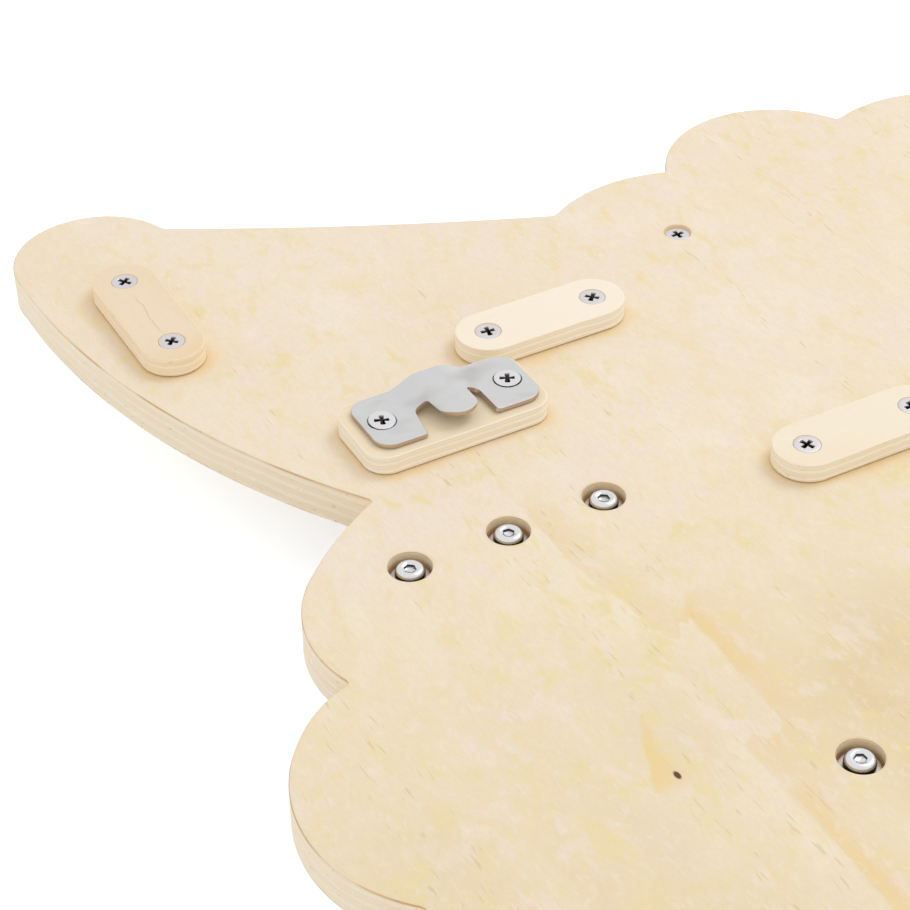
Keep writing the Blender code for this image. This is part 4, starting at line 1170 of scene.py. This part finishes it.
for side, sign in zip(sides, (-1, 1)):
    makePost(side, sign)


def makeRod():
    half, radius, edge = halfWidth("rail_rod"), rail["rodRadius"], rail["rodEdge"]
    profile = [(0, -half), (radius - edge, -half), (radius, edge - half), (radius, half - edge),
               (radius - edge, half), (0, half)]
    turnPiece("rail_rod", profile, 48, (brightZinc,), alongX=True)


def makeBead(node):  # its barrel is an ellipse of the place along the rod
    low, high, _ = boxOf(node)
    half, radius, end = halfWidth(node), (high[2] - low[2]) / 2, rail["beadEnd"]
    bore, edge, cut = rail["rodRadius"] + countersink["gap"], rail["beadEdge"], end - rail["beadCut"]
    share = np.linspace(-0.985, 0.985, 25)
    profile = [(bore, half - edge), (bore, edge - half), (bore + edge, -half), (cut, -half)]
    profile += [(end + (radius - end) * math.sqrt(1 - s * s), half * s) for s in share]
    profile += [(cut, half), (bore + edge, half)]
    wear = np.zeros(len(profile))
    wear[3:6] = wear[-4:-1] = 0.7
    turnPiece(node, profile, 64, (paintOf[slotOf[node]],), camelName("rail_" + node), alongX=True,
              wear=wear, closeRows=True)


makeRod()
for index in range(3):
    makeBead("bead_%d" % (index + 1))
print("bead rail made")


# Floor, light and camera
stage = {"floor": 4.0, "floorTone": (0.885, 0.915, 0.965, 1), "floorLift": 0.55, "worldLevel": 0.845,
         "keyPlace": (1.25, 0.25, 1.9), "keySize": 1.0, "keyPower": 11.0,
         "place": (-408.63 * mm, -420.34 * mm, 446.31 * mm), "aim": (-162.0 * mm, 37.7 * mm, 39.0 * mm),
         "roll": -0.77, "lens": 96.37}


def seenDirectly():  # 1 for rays from the camera or a polished surface, 0 for the others
    rays = addNode("ShaderNodeLightPath").socket.node.outputs
    return maths("MAXIMUM", nodeValue(rays["Is Camera Ray"]), nodeValue(rays["Is Glossy Ray"]))


def makeFloor():
    reach = stage["floor"]
    mesh = bpy.data.meshes.new("floor")
    corners = [(-reach, -reach, 0), (reach, -reach, 0), (reach, reach, 0), (-reach, reach, 0)]
    mesh.from_pydata(corners, [], [(0, 1, 2, 3)])
    floor = addObject("floor", mesh)
    material = newMaterial("whiteFloor", 0.9)
    inputs = inputsOf(material)
    feed(inputs, "Base Color", stage["floorTone"])
    feed(inputs, "Specular IOR Level", 0.0)
    feed(inputs, "Emission Color", (1, 1, 1, 1))
    feed(inputs, "Emission Strength", seenDirectly() * stage["floorLift"])
    mesh.materials.append(material)


def makeLight():
    world = bpy.data.worlds.new("studio")
    world.use_nodes = True
    bpy.context.scene.world = world
    bench["tree"] = world.node_tree
    level = {0: seenDirectly(), 1: 0.0, 2: 1.0, 3: stage["worldLevel"], 4: 1.0}
    inputs = world.node_tree.nodes["Background"].inputs
    feed(inputs, "Color", (1, 1, 1, 1))
    feed(inputs, "Strength", addNode("ShaderNodeMapRange", level))
    lamp = bpy.data.lights.new("key", "AREA")
    lamp.size, lamp.energy = stage["keySize"], stage["keyPower"]
    key = addObject("key", lamp)
    key.location = stage["keyPlace"]
    key.rotation_euler = (-Vector(stage["keyPlace"])).to_track_quat("-Z", "Y").to_euler()


def makeCamera():
    lens = bpy.data.cameras.new("view")
    lens.lens, lens.sensor_width = stage["lens"], 36.0
    lens.clip_start, lens.clip_end = 0.01, 20.0
    camera = addObject("view", lens)
    place, aim = Vector(stage["place"]), Vector(stage["aim"])
    back = (place - aim).normalized()
    level = Vector((0, 0, 1)).cross(back).normalized()
    up = back.cross(level)
    roll = math.radians(stage["roll"])
    right = math.cos(roll) * level + math.sin(roll) * up
    turned = Matrix((right, back.cross(right), back)).transposed().to_4x4()
    camera.matrix_world = Matrix.Translation(place) @ turned
    bpy.context.scene.camera = camera


makeFloor()
makeLight()
makeCamera()
bpy.context.scene.view_settings.view_transform = "Standard"
print("stage set")
